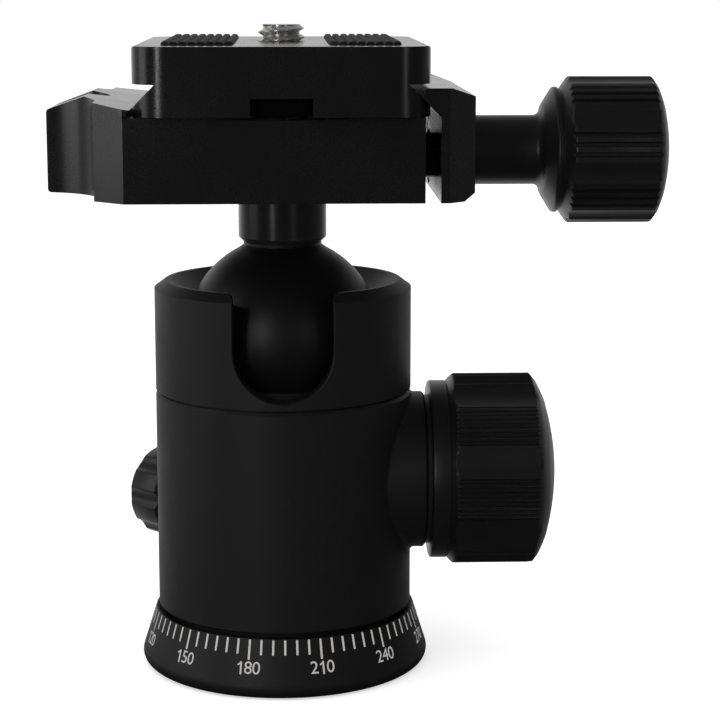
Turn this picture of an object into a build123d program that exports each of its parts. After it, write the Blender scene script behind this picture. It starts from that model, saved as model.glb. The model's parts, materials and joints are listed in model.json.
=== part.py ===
from build123d import *
from math import cos, radians, sin, sqrt, tan
import os

# Tripod ball head, in millimetres. +Z is up, +X points at the main knob, -Y is the front (drop notch).
# The origin is the centre of the base's underside.

# ---------------------------------------------------------------- clearances
RUN = 0.02      # faces that slide or roll on each other
SHAFT = 0.05    # radial play of a turning shaft
FREE = 0.30     # a gap that never closes

# ---------------------------------------------------------------- base and panning
BASE_H = 8.1
BASE_LEDGE = 0.4            # the rim stands outside the housing
BASE_FLARE = 2.57           # from the rim out to where the sloping skirt would meet the ground
BASE_CORNER_R = 1.6
BASE_WALL = 1.4
BASE_RIM_W = 0.25           # flat left on top of the ring by its inner bevel
BASE_RIM_DROP = 1.1
SPIGOT_PLAY = 0.4           # the housing's spigot inside the base ring
BASE_FLOOR = 3.6
BUSH_FLANGE_R = 8.0
BUSH_R = 6.2
BUSH_TOP = 10.5
SOCKET_R = 3.97             # 3/8"-16 thread, minor radius
SPINDLE_R = 8.0
SPINDLE_FLANGE_R = 14.0
SPINDLE_FLANGE_T = 2.0
SPINDLE_TOP = 22.2
SPINDLE_BORE_TOP = 12.0
SPINDLE_SCREW_R = 1.5
SPINDLE_SCREW_HEAD_R = 2.8
SPINDLE_SCREW_PCR = 11.5
SLIP_T = 0.5
SLIP_R = 13.4
NUT_R = 12.5
NUT_T = 3.0

# ---------------------------------------------------------------- housing
BODY_R = 18.0
BODY_GAP = 0.45             # shadow gap above the base
FLOOR_T = 3.48
CAVITY_R = 14.2
WEB_BOTTOM = 22.6
WEB_TOP = 24.2
SPLIT_Z = 39.4
SPLIT_GROOVE_H = 0.35
SPLIT_GROOVE_D = 0.6
SPLIT_BEVEL_H = 0.45        # bevel round the housing's top edge, under the groove
SPLIT_BEVEL_W = 0.35
COLLAR_SPIGOT_H = 3.7
SEAT_WALL = 1.0             # wall of the seat ring round the ball's middle
COLLAR_TOP = 55.1
COLLAR_CHAMFER_H = 1.1
COLLAR_CHAMFER_W = 1.5
COLLAR_RIM_W = 0.6
LIP_R = 12.65
LIP_T = 0.4
LIP_DROP = 2.1              # height of the conical bevel from the rim to the lip

# ---------------------------------------------------------------- ball, neck and stem
BALL_R = 13.6
BALL_Z = 47.3
NECK_R = 5.45
NECK_FLARE_R = 6.1          # where the neck runs out into the ball
NECK_FLARE_H = 0.4          # upright part of the neck above its flare
STEM_R = 6.15
STEM_CHAMFER = 0.7
STEM_Z = 60.35
NOTCH_PLAY = 0.62           # each side of the stem in the drop notch
NOTCH_EDGE = 0.15
NOTCH_CORNER_R = 0.9        # rounded top corners of the notch
SEAT_RING_H = 3.3

# ---------------------------------------------------------------- ball lock
CUP_R = 13.0
CUP_BOTTOM = 31.0
CUP_TOP = 41.0
CUP_DROP_ROOM = 0.4
WEDGE_HALF_L = 8.0
WEDGE_W = 9.0
WEDGE_MID_Z = 32.0
WEDGE_SLOPE = 8.0           # degrees
WEDGE_ROOM = 2.5            # how far the channel runs past the wedge
MAIN_Z = 27.5
MAIN_SCREW_R = 3.0          # M6
MAIN_BUSH_R = 5.0
BOSS_R = 11.1
BOSS_PROUD = 1.9            # the boss's face stands outside the body
BOSS_FILLET = 0.6
MAIN_WASHER_R = 10.6
MAIN_WASHER_T = 0.55
KNOB_RING_R = 12.65
KNOB_RING_L = 2.5
KNOB_GRIP_R = 13.7
KNOB_BACK_BEVEL = 1.0
KNOB_GRIP_L = 14.4          # from the knob's back face
KNOB_L = 16.45
KNOB_CAP_R = 9.9
KNOB_CAP_T = 1.5
KNOB_DOME = 1.5
KNOB_SCREW_DEPTH = 10.45    # how far the screw is pressed into the knob
KNOB_END_BEVEL_X = 0.9
KNOB_END_BEVEL_R = 1.1
KNOB_NOSE_X = 0.35
KNOB_NOSE_R = 0.9
KNOB_LOBES = 8
KNOB_SCALLOP_R = 6.5
KNOB_SCALLOP_D = 0.5
KNOB_SCALLOP_TURN = 16.2    # degrees above the forward direction

# ---------------------------------------------------------------- pan lock
PAN_AZ = 135.0              # degrees, from +X towards the back
PAN_Z = 20.6
PAN_SCREW_R = 2.0           # M4
PAN_BUSH_R = 3.5
PAN_BOSS_R = 5.4
PAN_PROUD = 0.4             # the small boss's face stands outside the body
PAN_WASHER_R = 4.6
PAN_WASHER_T = 0.5
PAN_KNOB_L = 7.5
PAN_KNOB_R = 6.7
PAN_KNOB_NECK_R = 5.4
PAN_KNOB_NECK_L = 1.0
PAN_KNOB_BEVEL = 0.9
PAN_KNOB_CAP_R = 4.2
PAN_KNOB_CAP_T = 1.2
PAN_KNOB_CAP_PROUD = 0.2
PAN_KNOB_WEB = 1.0          # between the screw's end and the cap's seat
PAN_SHOE_L = 2.6
PAN_LOBES = 8
PAN_SCALLOP_R = 1.9
PAN_SCALLOP_D = 0.55

# ---------------------------------------------------------------- clamp
CLAMP_BOTTOM = 68.0
CLAMP_DEPTH = 11.0          # from the underside to the bed
JAW_RISE = 3.7              # jaw tops above the bed
CLAMP_HALF_Y = 24.0
CLAMP_RIGHT = 18.4
CLAMP_LEFT = -24.4
CLAMP_CORNER_X = 4.1
CLAMP_CORNER_Y = 4.0
CLAMP_BEVEL_X = 21.8        # where the tops of both jaws start to fall away
CLAMP_BEVEL_SLOPE = 20.0    # degrees
EAR_X = -31.7
EAR_ROUND = 0.5
EAR_HALF_Y = 7.4
EAR_ROOT_Y = 15.0
BED_HOLLOW_W = 20.0
BED_HOLLOW_D = 0.35
EDGE = 0.3                  # broken edges
STEM_BOLT_R = 2.5
STEM_BOLT_HEAD_R = 5.0
STEM_BOLT_END = 63.2
LEVEL_X = -27.2
LEVEL_R = 3.6
LEVEL_DEPTH = 3.7
LEVEL_RING_T = 0.6
LEVEL_LENS_T = 0.8

JAW_INNER = 20.4
JAW_OUTER = 25.1
JAW_NOSE_X = 17.9
JAW_NOSE_TOP_X = 18.5
JAW_CORNER_X = 3.5
JAW_CORNER_Y = 3.6
JAW_FOOT_X = 1.5
JAW_FOOT_Z = 1.0
LEAD_H = 5.0                # above the clamp's underside
LEAD_R = 3.0                # M6
LEAD_START = 6.5
LEAD_CLIP_R = 4.3
LEAD_CLIP_T = 0.8
GUIDE_R = 1.9
GUIDE_Y = 13.0
GUIDE_H = 4.3
GUIDE_START = 6.0
GUIDE_END = 24.2
THRUST_R = 4.7
THRUST_T = 0.7

CK_NECK_R = 4.8
CK_NECK_END = 35.0
CK_FLARE_X = 0.6            # the neck's run out into the hub
CK_FLARE_R = 0.35
CK_HUB_X = 36.05
CK_HUB_ROOT_R = 6.35
CK_STEP_X = 38.2            # end of the hub's shoulder
CK_STEP_L = 0.65
CK_STEP_R = 8.7
CK_STEP_GROOVE = 0.25
CK_STEP_GROOVE_L = 0.3
CK_GRIP_X = 39.7
CK_GRIP_R = 10.15
CK_GRIP_END = 51.2
CK_END_X = 52.7
CK_END_BEVEL_X = 0.75
CK_END_BEVEL_R = 1.0
CK_CAP_R = 7.2
CK_CAP_T = 1.4
CK_DOME = 1.0
CK_LEAD_END = 46.0
CK_LOBES = 8
CK_SCALLOP_R = 5.0
CK_SCALLOP_D = 0.35
CK_SCALLOP_TURN = 30.5

# ---------------------------------------------------------------- plate and camera screw
PLATE_HALF_Y = 25.0
PLATE_FLANGE_HALF = 19.2
PLATE_FLANGE_T = 4.8
PLATE_FLANGE_GAP = 0.5      # over the jaws
PLATE_FOOT_HALF = 19.15
PLATE_FOOT_H = 1.18         # upright edge below the 45 degree face
PLATE_CORNER_R = 4.4
CHANNEL_W = 8.0
CHANNEL_H = 2.4
HEAD_POCKET_R = 7.1
WEB_T = 2.2
PAD_X = 10.9
PAD_W = 9.4
PAD_HALF_Y = 20.0
PAD_SINK = 0.8
PAD_PROUD = 0.5
PAD_CORNER_R = 2.0
CAMERA_SCREW_R = 3.175      # 1/4"-20
CAMERA_SCREW_PROUD = 2.3    # tip above the plate, with the screw hanging low
CAMERA_THREAD_L = 4.9
CAMERA_SHANK_R = 2.5
CAMERA_HEAD_R = 6.7
CAMERA_HEAD_GAP = 0.75      # over the clamp's bed
CAMERA_HEAD_T = 2.5
CAMERA_SLOT_W = 1.4
CAMERA_SLOT_D = 1.2
CAMERA_WASHER_R = 6.4
CAMERA_WASHER_T = 0.4

# ---------------------------------------------------------------- sizes that follow
base_rim_r = BODY_R + BASE_LEDGE
base_skirt_r = base_rim_r + BASE_FLARE
base_in_r = base_rim_r - BASE_WALL
spigot_r = base_in_r - SPIGOT_PLAY
spindle_flange_top = BASE_FLOOR + SPINDLE_FLANGE_T
floor_z = spindle_flange_top + SLIP_T + RUN
floor_top = floor_z + FLOOR_T
upper_slip_z = floor_top + RUN
nut_z = upper_slip_z + SLIP_T
body_z = BASE_H + BODY_GAP
collar_spigot_z = SPLIT_Z - COLLAR_SPIGOT_H
collar_z = SPLIT_Z + SPLIT_GROOVE_H
groove_r = BODY_R - SPLIT_GROOVE_D
collar_bore_r = BALL_R + SEAT_WALL
collar_spigot_r = (collar_bore_r + groove_r) / 2
lip_z = COLLAR_TOP - LIP_DROP
seat_top = lip_z - LIP_T
rim_out_r = BODY_R - COLLAR_CHAMFER_W
rim_in_r = rim_out_r - COLLAR_RIM_W
seat_r = BALL_R + RUN
neck_flare_z = BALL_Z + sqrt(seat_r**2 - NECK_FLARE_R**2)
notch_half = STEM_R + NOTCH_PLAY
wedge_rise = tan(radians(WEDGE_SLOPE))
channel_end = WEDGE_HALF_L + WEDGE_ROOM
boss_x = BODY_R + BOSS_PROUD
main_washer_x = boss_x + SHAFT
knob_x = main_washer_x + MAIN_WASHER_T + SHAFT
knob_ring_end = knob_x + KNOB_RING_L
knob_grip_end = knob_x + KNOB_GRIP_L
knob_end = knob_x + KNOB_L
knob_cap_seat = knob_end - KNOB_CAP_T
knob_screw_end = knob_x + KNOB_SCREW_DEPTH
pan_face = BODY_R + PAN_PROUD
pan_washer_x = pan_face + SHAFT
pan_knob_x = pan_washer_x + PAN_WASHER_T + SHAFT
pan_knob_neck_end = pan_knob_x + PAN_KNOB_NECK_L
pan_knob_end = pan_knob_x + PAN_KNOB_L
pan_cap_seat = pan_knob_end - PAN_KNOB_CAP_T
pan_screw_end = pan_cap_seat - PAN_KNOB_WEB
clamp_bed = CLAMP_BOTTOM + CLAMP_DEPTH
clamp_top = clamp_bed + JAW_RISE
bolt_seat = clamp_bed - BED_HOLLOW_D
clamp_bevel = tan(radians(CLAMP_BEVEL_SLOPE))
ear_end_z = clamp_top - (-EAR_X - CLAMP_BEVEL_X) * clamp_bevel
level_bottom = ear_end_z - LEVEL_DEPTH
lead_z = CLAMP_BOTTOM + LEAD_H
guide_z = CLAMP_BOTTOM + GUIDE_H
plate_z = clamp_bed + RUN
plate_foot_z = plate_z + PLATE_FOOT_H
dovetail_sum = plate_foot_z + PLATE_FOOT_HALF      # x + z along the plate's 45 degree face
plate_neck_z = clamp_top + PLATE_FLANGE_GAP
plate_neck_half = dovetail_sum - plate_neck_z
plate_top = plate_neck_z + PLATE_FLANGE_T
web_z = plate_top - WEB_T
jaw_sum = dovetail_sum + RUN * sqrt(2)
clamp_nose_x = clamp_top - jaw_sum
bed_corner_x = clamp_bed - jaw_sum
thrust_x = JAW_OUTER + RUN
ck_x = thrust_x + THRUST_T + RUN
camera_head_z = clamp_bed + CAMERA_HEAD_GAP
camera_head_top = camera_head_z + CAMERA_HEAD_T
camera_washer_z = camera_head_top + RUN
camera_tip = plate_top + CAMERA_SCREW_PROUD
web_hole_r = CAMERA_SCREW_R + 0.15

os.makedirs("parts", exist_ok=True)


# ---------------------------------------------------------------- helpers
def save(shape, node):
    """Write one piece to its own file."""
    solids = shape.solids()
    part = solids[0] if len(solids) == 1 else Compound(children=list(solids))
    export_step(part, f"parts/{node}.step")


def upright(points):
    """A solid turned about Z from (radius, z) points."""
    face = Plane.XZ * make_face(Polyline(*points, close=True))
    return revolve(face, Axis.Z)


def lathe(points):
    """A solid turned about X from (x, radius) points."""
    face = Plane.XY * make_face(Polyline(*points, close=True))
    return revolve(face, Axis.X)


def rod_x(x0, x1, radius, y=0.0, z=0.0):
    """A cylinder along X."""
    blank = Cylinder(radius, x1 - x0, align=(Align.CENTER, Align.CENTER, Align.MIN))
    return Pos(x0, y, z) * Rot(0, 90, 0) * blank


def rod_y(y0, y1, radius, x=0.0, z=0.0):
    """A cylinder along Y."""
    blank = Cylinder(radius, y1 - y0, align=(Align.CENTER, Align.CENTER, Align.MIN))
    return Pos(x, y0, z) * Rot(-90, 0, 0) * blank


def rod_z(z0, z1, radius, x=0.0, y=0.0):
    """A cylinder along Z."""
    return Pos(x, y, z0) * Cylinder(radius, z1 - z0, align=(Align.CENTER, Align.CENTER, Align.MIN))


def block(x0, x1, y0, y1, z0, z1):
    """A box between two corners."""
    return Pos((x0 + x1) / 2, (y0 + y1) / 2, (z0 + z1) / 2) * Box(x1 - x0, y1 - y0, z1 - z0)


def profile_y(points, half_y):
    """A solid with an (x, z) outline, centred on the front-to-back middle."""
    face = Plane.XZ * make_face(Polyline(*points, close=True))
    return extrude(face, amount=half_y, both=True)


def scalloped(knob, count, radius, cutter_r, depth, turn):
    """Cut shallow hollows along a knob that is turned about X."""
    for i in range(count):
        angle = radians(180 + turn + 360 * i / count)
        reach = radius - depth + cutter_r
        knob -= rod_x(-5, 80, cutter_r, y=reach * cos(angle), z=-reach * sin(angle))
    return knob


def at_main(shape):
    """Move a piece made along X to the main knob's axis."""
    return Pos(0, 0, MAIN_Z) * shape


def at_pan(shape):
    """Move a piece made along X to the pan lock's axis."""
    return Pos(0, 0, PAN_Z) * Rot(0, 0, PAN_AZ) * shape


def at_lead(shape):
    """Move a piece made along X to the clamp screw's axis."""
    return Pos(0, 0, lead_z) * shape


ball = Pos(0, 0, BALL_Z) * Sphere(BALL_R)
ball_space = Pos(0, 0, BALL_Z) * Sphere(seat_r)

# ---------------------------------------------------------------- base
skirt = make_face(
    Polyline(
        (BUSH_FLANGE_R, 0),
        (base_skirt_r, 0),
        (base_rim_r, BASE_H),
        (base_rim_r - BASE_RIM_W, BASE_H),
        (base_in_r, BASE_H - BASE_RIM_DROP),
        (base_in_r, BASE_FLOOR),
        (BUSH_FLANGE_R, BASE_FLOOR),
        close=True,
    )
)
skirt_corner = skirt.vertices().sort_by(Axis.X)[-1]
pan_base = revolve(Plane.XZ * fillet(skirt_corner, BASE_CORNER_R), Axis.Z)

base_bush = upright(
    [
        (SOCKET_R, 0),
        (BUSH_FLANGE_R, 0),
        (BUSH_FLANGE_R, BASE_FLOOR),
        (BUSH_R, BASE_FLOOR),
        (BUSH_R, BUSH_TOP),
        (SOCKET_R, BUSH_TOP),
    ]
)

pan_spindle = rod_z(BASE_FLOOR, spindle_flange_top, SPINDLE_FLANGE_R)
pan_spindle += rod_z(BASE_FLOOR, SPINDLE_TOP, SPINDLE_R)
pan_spindle -= rod_z(BASE_FLOOR, SPINDLE_BORE_TOP, BUSH_R)

screw_head_h = SPINDLE_SCREW_HEAD_R - SPINDLE_SCREW_R
for i in range(3):
    turn = radians(90 + 120 * i)
    spot = Pos(SPINDLE_SCREW_PCR * cos(turn), SPINDLE_SCREW_PCR * sin(turn), 0)
    screw = spot * upright(
        [
            (0, 0),
            (SPINDLE_SCREW_HEAD_R, 0),
            (SPINDLE_SCREW_R, screw_head_h),
            (SPINDLE_SCREW_R, spindle_flange_top),
            (0, spindle_flange_top),
        ]
    )
    pan_base -= screw
    pan_spindle -= screw
    hex_key = extrude(RegularPolygon(1.0, 6), amount=0.9)
    save(screw - spot * hex_key, f"spindle_screw_{i + 1}")

save(pan_base, "pan_base")
save(base_bush, "base_bush")
save(pan_spindle, "pan_spindle")
for node, z in (("slip_washer_lower", spindle_flange_top), ("slip_washer_upper", upper_slip_z)):
    save(rod_z(z, z + SLIP_T, SLIP_R) - rod_z(z, z + SLIP_T, SPINDLE_R + SHAFT), node)

spindle_nut = rod_z(nut_z, nut_z + NUT_T, NUT_R) - rod_z(nut_z, nut_z + NUT_T, SPINDLE_R)
for turn in (0, 90):
    slot = block(-NUT_R, NUT_R, -1.2, 1.2, nut_z + NUT_T - 1.2, nut_z + NUT_T)
    spindle_nut -= Rot(0, 0, turn) * slot
save(spindle_nut, "spindle_nut")

# ---------------------------------------------------------------- lower housing
lower_housing = upright(
    [
        (0, floor_z),
        (spigot_r, floor_z),
        (spigot_r, body_z),
        (BODY_R - EDGE, body_z),
        (BODY_R, body_z + EDGE),
        (BODY_R, SPLIT_Z - SPLIT_BEVEL_H),
        (BODY_R - SPLIT_BEVEL_W, SPLIT_Z),
        (0, SPLIT_Z),
    ]
)
lower_housing += at_main(rod_x(WEDGE_HALF_L, boss_x, BOSS_R))
boss_root = lower_housing.edges().filter_by(GeomType.BSPLINE).sort_by(Axis.X)[-1]
lower_housing = fillet(boss_root, BOSS_FILLET)
boss_end = lower_housing.edges().filter_by(GeomType.CIRCLE).sort_by(Axis.X)[-1]
lower_housing = chamfer(boss_end, EDGE)
lower_housing += at_pan(rod_x(CAVITY_R - 1, pan_face, PAN_BOSS_R))
lower_housing -= rod_z(floor_z, floor_top, SPINDLE_R + SHAFT)
lower_housing -= rod_z(floor_top, WEB_BOTTOM, CAVITY_R)
lower_housing -= rod_z(CUP_BOTTOM - CUP_DROP_ROOM, SPLIT_Z, CUP_R + SHAFT)
lower_housing -= rod_z(collar_spigot_z, SPLIT_Z, collar_spigot_r)
wedge_half_w = WEDGE_W / 2
lower_housing -= block(
    -WEDGE_HALF_L - FREE, channel_end, -wedge_half_w - SHAFT, wedge_half_w + SHAFT, WEB_TOP, CUP_BOTTOM
)
lower_housing -= at_main(rod_x(channel_end, boss_x, MAIN_BUSH_R))
lower_housing -= at_pan(rod_x(CAVITY_R - 1, pan_face, PAN_BUSH_R))
save(lower_housing, "lower_housing")

main_bush = rod_x(channel_end, boss_x, MAIN_BUSH_R) - rod_x(channel_end, boss_x, MAIN_SCREW_R + SHAFT)
main_bush -= Pos(0, 0, -MAIN_Z) * rod_z(CUP_BOTTOM - CUP_DROP_ROOM, SPLIT_Z, CUP_R + SHAFT)
save(at_main(main_bush), "main_bush")
pan_bush = rod_x(CAVITY_R - 1, pan_face, PAN_BUSH_R) - rod_x(CAVITY_R - 1, pan_face, PAN_SCREW_R + SHAFT)
pan_bush -= Pos(0, 0, -PAN_Z) * rod_z(floor_top, WEB_BOTTOM, CAVITY_R)
save(at_pan(pan_bush), "pan_bush")

# ---------------------------------------------------------------- upper collar and its seat ring
upper_collar = upright(
    [
        (collar_bore_r, collar_spigot_z),
        (collar_spigot_r, collar_spigot_z),
        (collar_spigot_r, SPLIT_Z),
        (groove_r, SPLIT_Z),
        (groove_r, collar_z),
        (BODY_R, collar_z),
        (BODY_R, COLLAR_TOP - COLLAR_CHAMFER_H),
        (rim_out_r, COLLAR_TOP),
        (rim_in_r, COLLAR_TOP),
        (LIP_R, lip_z),
        (LIP_R, seat_top),
        (collar_bore_r, seat_top),
    ]
)


def on_notch_front(edge):
    """True for the edges where the drop notch cuts the collar's outside."""
    ends = [edge @ 0, edge @ 1]
    outside = all(abs(sqrt(p.X**2 + p.Y**2) - BODY_R) < 0.01 for p in ends)
    inside_notch = all(abs(p.X) < notch_half + 0.01 and p.Y < 0 for p in ends)
    return outside and inside_notch and edge.geom_type != GeomType.CIRCLE


notch_mouth = notch_half + NOTCH_CORNER_R
notch_corner_z = COLLAR_TOP - NOTCH_CORNER_R
corner_mid = (notch_mouth - NOTCH_CORNER_R * sqrt(0.5), notch_corner_z + NOTCH_CORNER_R * sqrt(0.5))
notch_outline = Polyline((notch_half, BALL_Z), (notch_half, notch_corner_z))
notch_outline += ThreePointArc((notch_half, notch_corner_z), corner_mid, (notch_mouth, COLLAR_TOP))
notch_outline += Polyline(
    (notch_mouth, COLLAR_TOP),
    (notch_mouth, COLLAR_TOP + 1),
    (-notch_mouth, COLLAR_TOP + 1),
    (-notch_mouth, COLLAR_TOP),
)
notch_outline += ThreePointArc(
    (-notch_mouth, COLLAR_TOP), (-corner_mid[0], corner_mid[1]), (-notch_half, notch_corner_z)
)
notch_outline += Line((-notch_half, notch_corner_z), (-notch_half, BALL_Z))
notch_outline += ThreePointArc((-notch_half, BALL_Z), (0, BALL_Z - notch_half), (notch_half, BALL_Z))
notch_face = Plane.XZ * make_face(notch_outline)
notch = Pos(0, -BALL_R / 2, 0) * extrude(notch_face, amount=BODY_R)
upper_collar -= notch
upper_collar = chamfer(upper_collar.edges().filter_by(on_notch_front), NOTCH_EDGE)
save(upper_collar, "upper_collar")

seat_ring = rod_z(seat_top - SEAT_RING_H, seat_top, collar_bore_r) - ball_space
seat_ring -= notch
save(seat_ring, "seat_ring")

# ---------------------------------------------------------------- lock wedge and pressure cup
wedge_low = WEDGE_MID_Z - WEDGE_HALF_L * wedge_rise
wedge_high = WEDGE_MID_Z + WEDGE_HALF_L * wedge_rise
lock_wedge = profile_y(
    [
        (-WEDGE_HALF_L, WEB_TOP + RUN),
        (WEDGE_HALF_L, WEB_TOP + RUN),
        (WEDGE_HALF_L, wedge_high),
        (-WEDGE_HALF_L, wedge_low),
    ],
    wedge_half_w,
)
save(lock_wedge, "lock_wedge")

cup_reach = CUP_R + 1
roof_low = WEDGE_MID_Z + RUN - cup_reach * wedge_rise
roof_high = WEDGE_MID_Z + RUN + cup_reach * wedge_rise
wedge_slot = profile_y(
    [
        (-cup_reach, WEB_TOP),
        (cup_reach, WEB_TOP),
        (cup_reach, roof_high),
        (-cup_reach, roof_low),
    ],
    wedge_half_w + FREE,
)
pressure_cup = rod_z(CUP_BOTTOM, CUP_TOP, CUP_R) - ball_space - wedge_slot
save(pressure_cup, "pressure_cup")

# ---------------------------------------------------------------- main knob
main_screw_tip = WEDGE_HALF_L + RUN
main_screw = lathe(
    [
        (main_screw_tip, 0),
        (main_screw_tip, MAIN_SCREW_R - 0.6),
        (main_screw_tip + 0.6, MAIN_SCREW_R),
        (knob_screw_end, MAIN_SCREW_R),
        (knob_screw_end, 0),
    ]
)
save(at_main(main_screw), "main_screw")

main_washer = rod_x(main_washer_x, main_washer_x + MAIN_WASHER_T, MAIN_WASHER_R)
main_washer -= rod_x(main_washer_x, main_washer_x + MAIN_WASHER_T, MAIN_SCREW_R + SHAFT)
save(at_main(main_washer), "main_washer")

main_knob = lathe(
    [
        (knob_x, MAIN_SCREW_R),
        (knob_x, KNOB_RING_R - EDGE),
        (knob_x + EDGE, KNOB_RING_R),
        (knob_ring_end, KNOB_RING_R),
        (knob_ring_end + KNOB_BACK_BEVEL, KNOB_GRIP_R),
        (knob_grip_end, KNOB_GRIP_R),
        (knob_grip_end + KNOB_END_BEVEL_X, KNOB_GRIP_R - KNOB_END_BEVEL_R),
        (knob_end - KNOB_NOSE_X, KNOB_CAP_R + KNOB_NOSE_R),
        (knob_end, KNOB_CAP_R),
        (knob_cap_seat, KNOB_CAP_R),
        (knob_cap_seat, 0),
        (knob_screw_end, 0),
        (knob_screw_end, MAIN_SCREW_R),
    ]
)
knob_front = rod_x(knob_ring_end, knob_end + 1, KNOB_GRIP_R + 1)
knob_body = scalloped(
    main_knob & knob_front, KNOB_LOBES, KNOB_GRIP_R, KNOB_SCALLOP_R, KNOB_SCALLOP_D, KNOB_SCALLOP_TURN
)
main_knob = (main_knob - knob_front) + knob_body
save(at_main(main_knob), "main_knob")

dome_r = (KNOB_CAP_R**2 + KNOB_DOME**2) / (2 * KNOB_DOME)
cap = rod_x(knob_cap_seat, knob_end + KNOB_DOME, KNOB_CAP_R)
cap &= Pos(knob_end + KNOB_DOME - dome_r, 0, 0) * Sphere(dome_r)
save(at_main(cap), "main_knob_cap")

# ---------------------------------------------------------------- pan lock
shoe_tip = SPINDLE_R + RUN
shoe_end = shoe_tip + PAN_SHOE_L
pan_shoe = rod_x(SPINDLE_R - 1, shoe_end, PAN_SCREW_R)
pan_shoe &= block(0, 40, -5, 5, -5, SPINDLE_TOP - PAN_Z - 0.1)
pan_shoe -= rod_z(-PAN_Z, PAN_Z, shoe_tip)
save(at_pan(pan_shoe), "pan_shoe")

pan_screw = rod_x(shoe_end + RUN, pan_screw_end, PAN_SCREW_R)
save(at_pan(pan_screw), "pan_screw")

pan_washer = rod_x(pan_washer_x, pan_washer_x + PAN_WASHER_T, PAN_WASHER_R)
pan_washer -= rod_x(pan_washer_x, pan_washer_x + PAN_WASHER_T, PAN_SCREW_R + SHAFT)
save(at_pan(pan_washer), "pan_washer")

pan_knob = lathe(
    [
        (pan_knob_x, PAN_SCREW_R),
        (pan_knob_x, PAN_KNOB_NECK_R),
        (pan_knob_neck_end, PAN_KNOB_NECK_R),
        (pan_knob_neck_end + PAN_KNOB_BEVEL / 2, PAN_KNOB_R),
        (pan_knob_end - PAN_KNOB_BEVEL, PAN_KNOB_R),
        (pan_knob_end, PAN_KNOB_R - PAN_KNOB_BEVEL),
        (pan_knob_end, PAN_KNOB_CAP_R),
        (pan_cap_seat, PAN_KNOB_CAP_R),
        (pan_cap_seat, 0),
        (pan_screw_end, 0),
        (pan_screw_end, PAN_SCREW_R),
    ]
)
pan_front = rod_x(pan_knob_neck_end, pan_knob_end + 1, PAN_KNOB_R + 1)
pan_body = scalloped(pan_knob & pan_front, PAN_LOBES, PAN_KNOB_R, PAN_SCALLOP_R, PAN_SCALLOP_D, 0)
pan_knob = (pan_knob - pan_front) + pan_body
save(at_pan(pan_knob), "pan_knob")
pan_cap = rod_x(pan_cap_seat, pan_knob_end + PAN_KNOB_CAP_PROUD, PAN_KNOB_CAP_R)
save(at_pan(pan_cap), "pan_knob_cap")

# ---------------------------------------------------------------- ball, neck and stem
save(ball, "ball")
neck_ring = upright(
    [
        (0, BALL_Z + BALL_R / 2),
        (NECK_FLARE_R, BALL_Z + BALL_R / 2),
        (NECK_FLARE_R, neck_flare_z),
        (NECK_R, STEM_Z - NECK_FLARE_H),
        (NECK_R, STEM_Z),
        (0, STEM_Z),
    ]
)
neck_ring -= ball_space
save(neck_ring, "neck_ring")

bolt_head_h = STEM_BOLT_HEAD_R - STEM_BOLT_R
stem_bolt = upright(
    [
        (0, STEM_BOLT_END),
        (STEM_BOLT_R, STEM_BOLT_END),
        (STEM_BOLT_R, bolt_seat - bolt_head_h),
        (STEM_BOLT_HEAD_R, bolt_seat),
        (0, bolt_seat),
    ]
)
stem = upright(
    [
        (0, STEM_Z + RUN),
        (STEM_R - STEM_CHAMFER, STEM_Z + RUN),
        (STEM_R, STEM_Z + RUN + STEM_CHAMFER),
        (STEM_R, CLAMP_BOTTOM),
        (0, CLAMP_BOTTOM),
    ]
)
save(stem - stem_bolt - ball_space, "stem")
bolt_key = Pos(0, 0, bolt_seat - 2.4) * extrude(RegularPolygon(2.0, 6), amount=2.4)
save(stem_bolt - bolt_key, "stem_bolt")

# ---------------------------------------------------------------- clamp body
clamp_body = profile_y(
    [
        (EAR_X, CLAMP_BOTTOM),
        (CLAMP_RIGHT, CLAMP_BOTTOM),
        (CLAMP_RIGHT, clamp_bed),
        (bed_corner_x, clamp_bed),
        (clamp_nose_x, clamp_top),
        (-CLAMP_BEVEL_X, clamp_top),
        (EAR_X, clamp_top - (-EAR_X - CLAMP_BEVEL_X) * clamp_bevel),
    ],
    CLAMP_HALF_Y,
)
flank_mid = ((CLAMP_LEFT + EAR_X) / 2 + 0.9, -(EAR_ROOT_Y + EAR_HALF_Y) / 2 + 1.1)
outline = Polyline(
    (EAR_X, EAR_HALF_Y),
    (EAR_X, -EAR_HALF_Y),
)
outline += ThreePointArc((EAR_X, -EAR_HALF_Y), flank_mid, (CLAMP_LEFT, -EAR_ROOT_Y))
outline += Polyline(
    (CLAMP_LEFT, -EAR_ROOT_Y),
    (CLAMP_LEFT, -CLAMP_HALF_Y + CLAMP_CORNER_Y),
    (CLAMP_LEFT + CLAMP_CORNER_X, -CLAMP_HALF_Y),
    (CLAMP_RIGHT, -CLAMP_HALF_Y),
    (CLAMP_RIGHT, CLAMP_HALF_Y),
    (CLAMP_LEFT + CLAMP_CORNER_X, CLAMP_HALF_Y),
    (CLAMP_LEFT, CLAMP_HALF_Y - CLAMP_CORNER_Y),
    (CLAMP_LEFT, EAR_ROOT_Y),
)
outline += ThreePointArc((CLAMP_LEFT, EAR_ROOT_Y), (flank_mid[0], -flank_mid[1]), (EAR_X, EAR_HALF_Y))
clamp_plan = make_face(outline)
clamp_body &= Pos(0, 0, CLAMP_BOTTOM) * extrude(clamp_plan, amount=clamp_top - CLAMP_BOTTOM)
ear_ends = clamp_body.edges().filter_by(Axis.Y).sort_by(Axis.X)[:2]
clamp_body = fillet(ear_ends, EAR_ROUND)
hollow_r = (BED_HOLLOW_W**2 / 4 + BED_HOLLOW_D**2) / (2 * BED_HOLLOW_D)
clamp_body -= rod_y(-CLAMP_HALF_Y, CLAMP_HALF_Y, hollow_r, z=bolt_seat + hollow_r)
clamp_body -= stem_bolt
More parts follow.
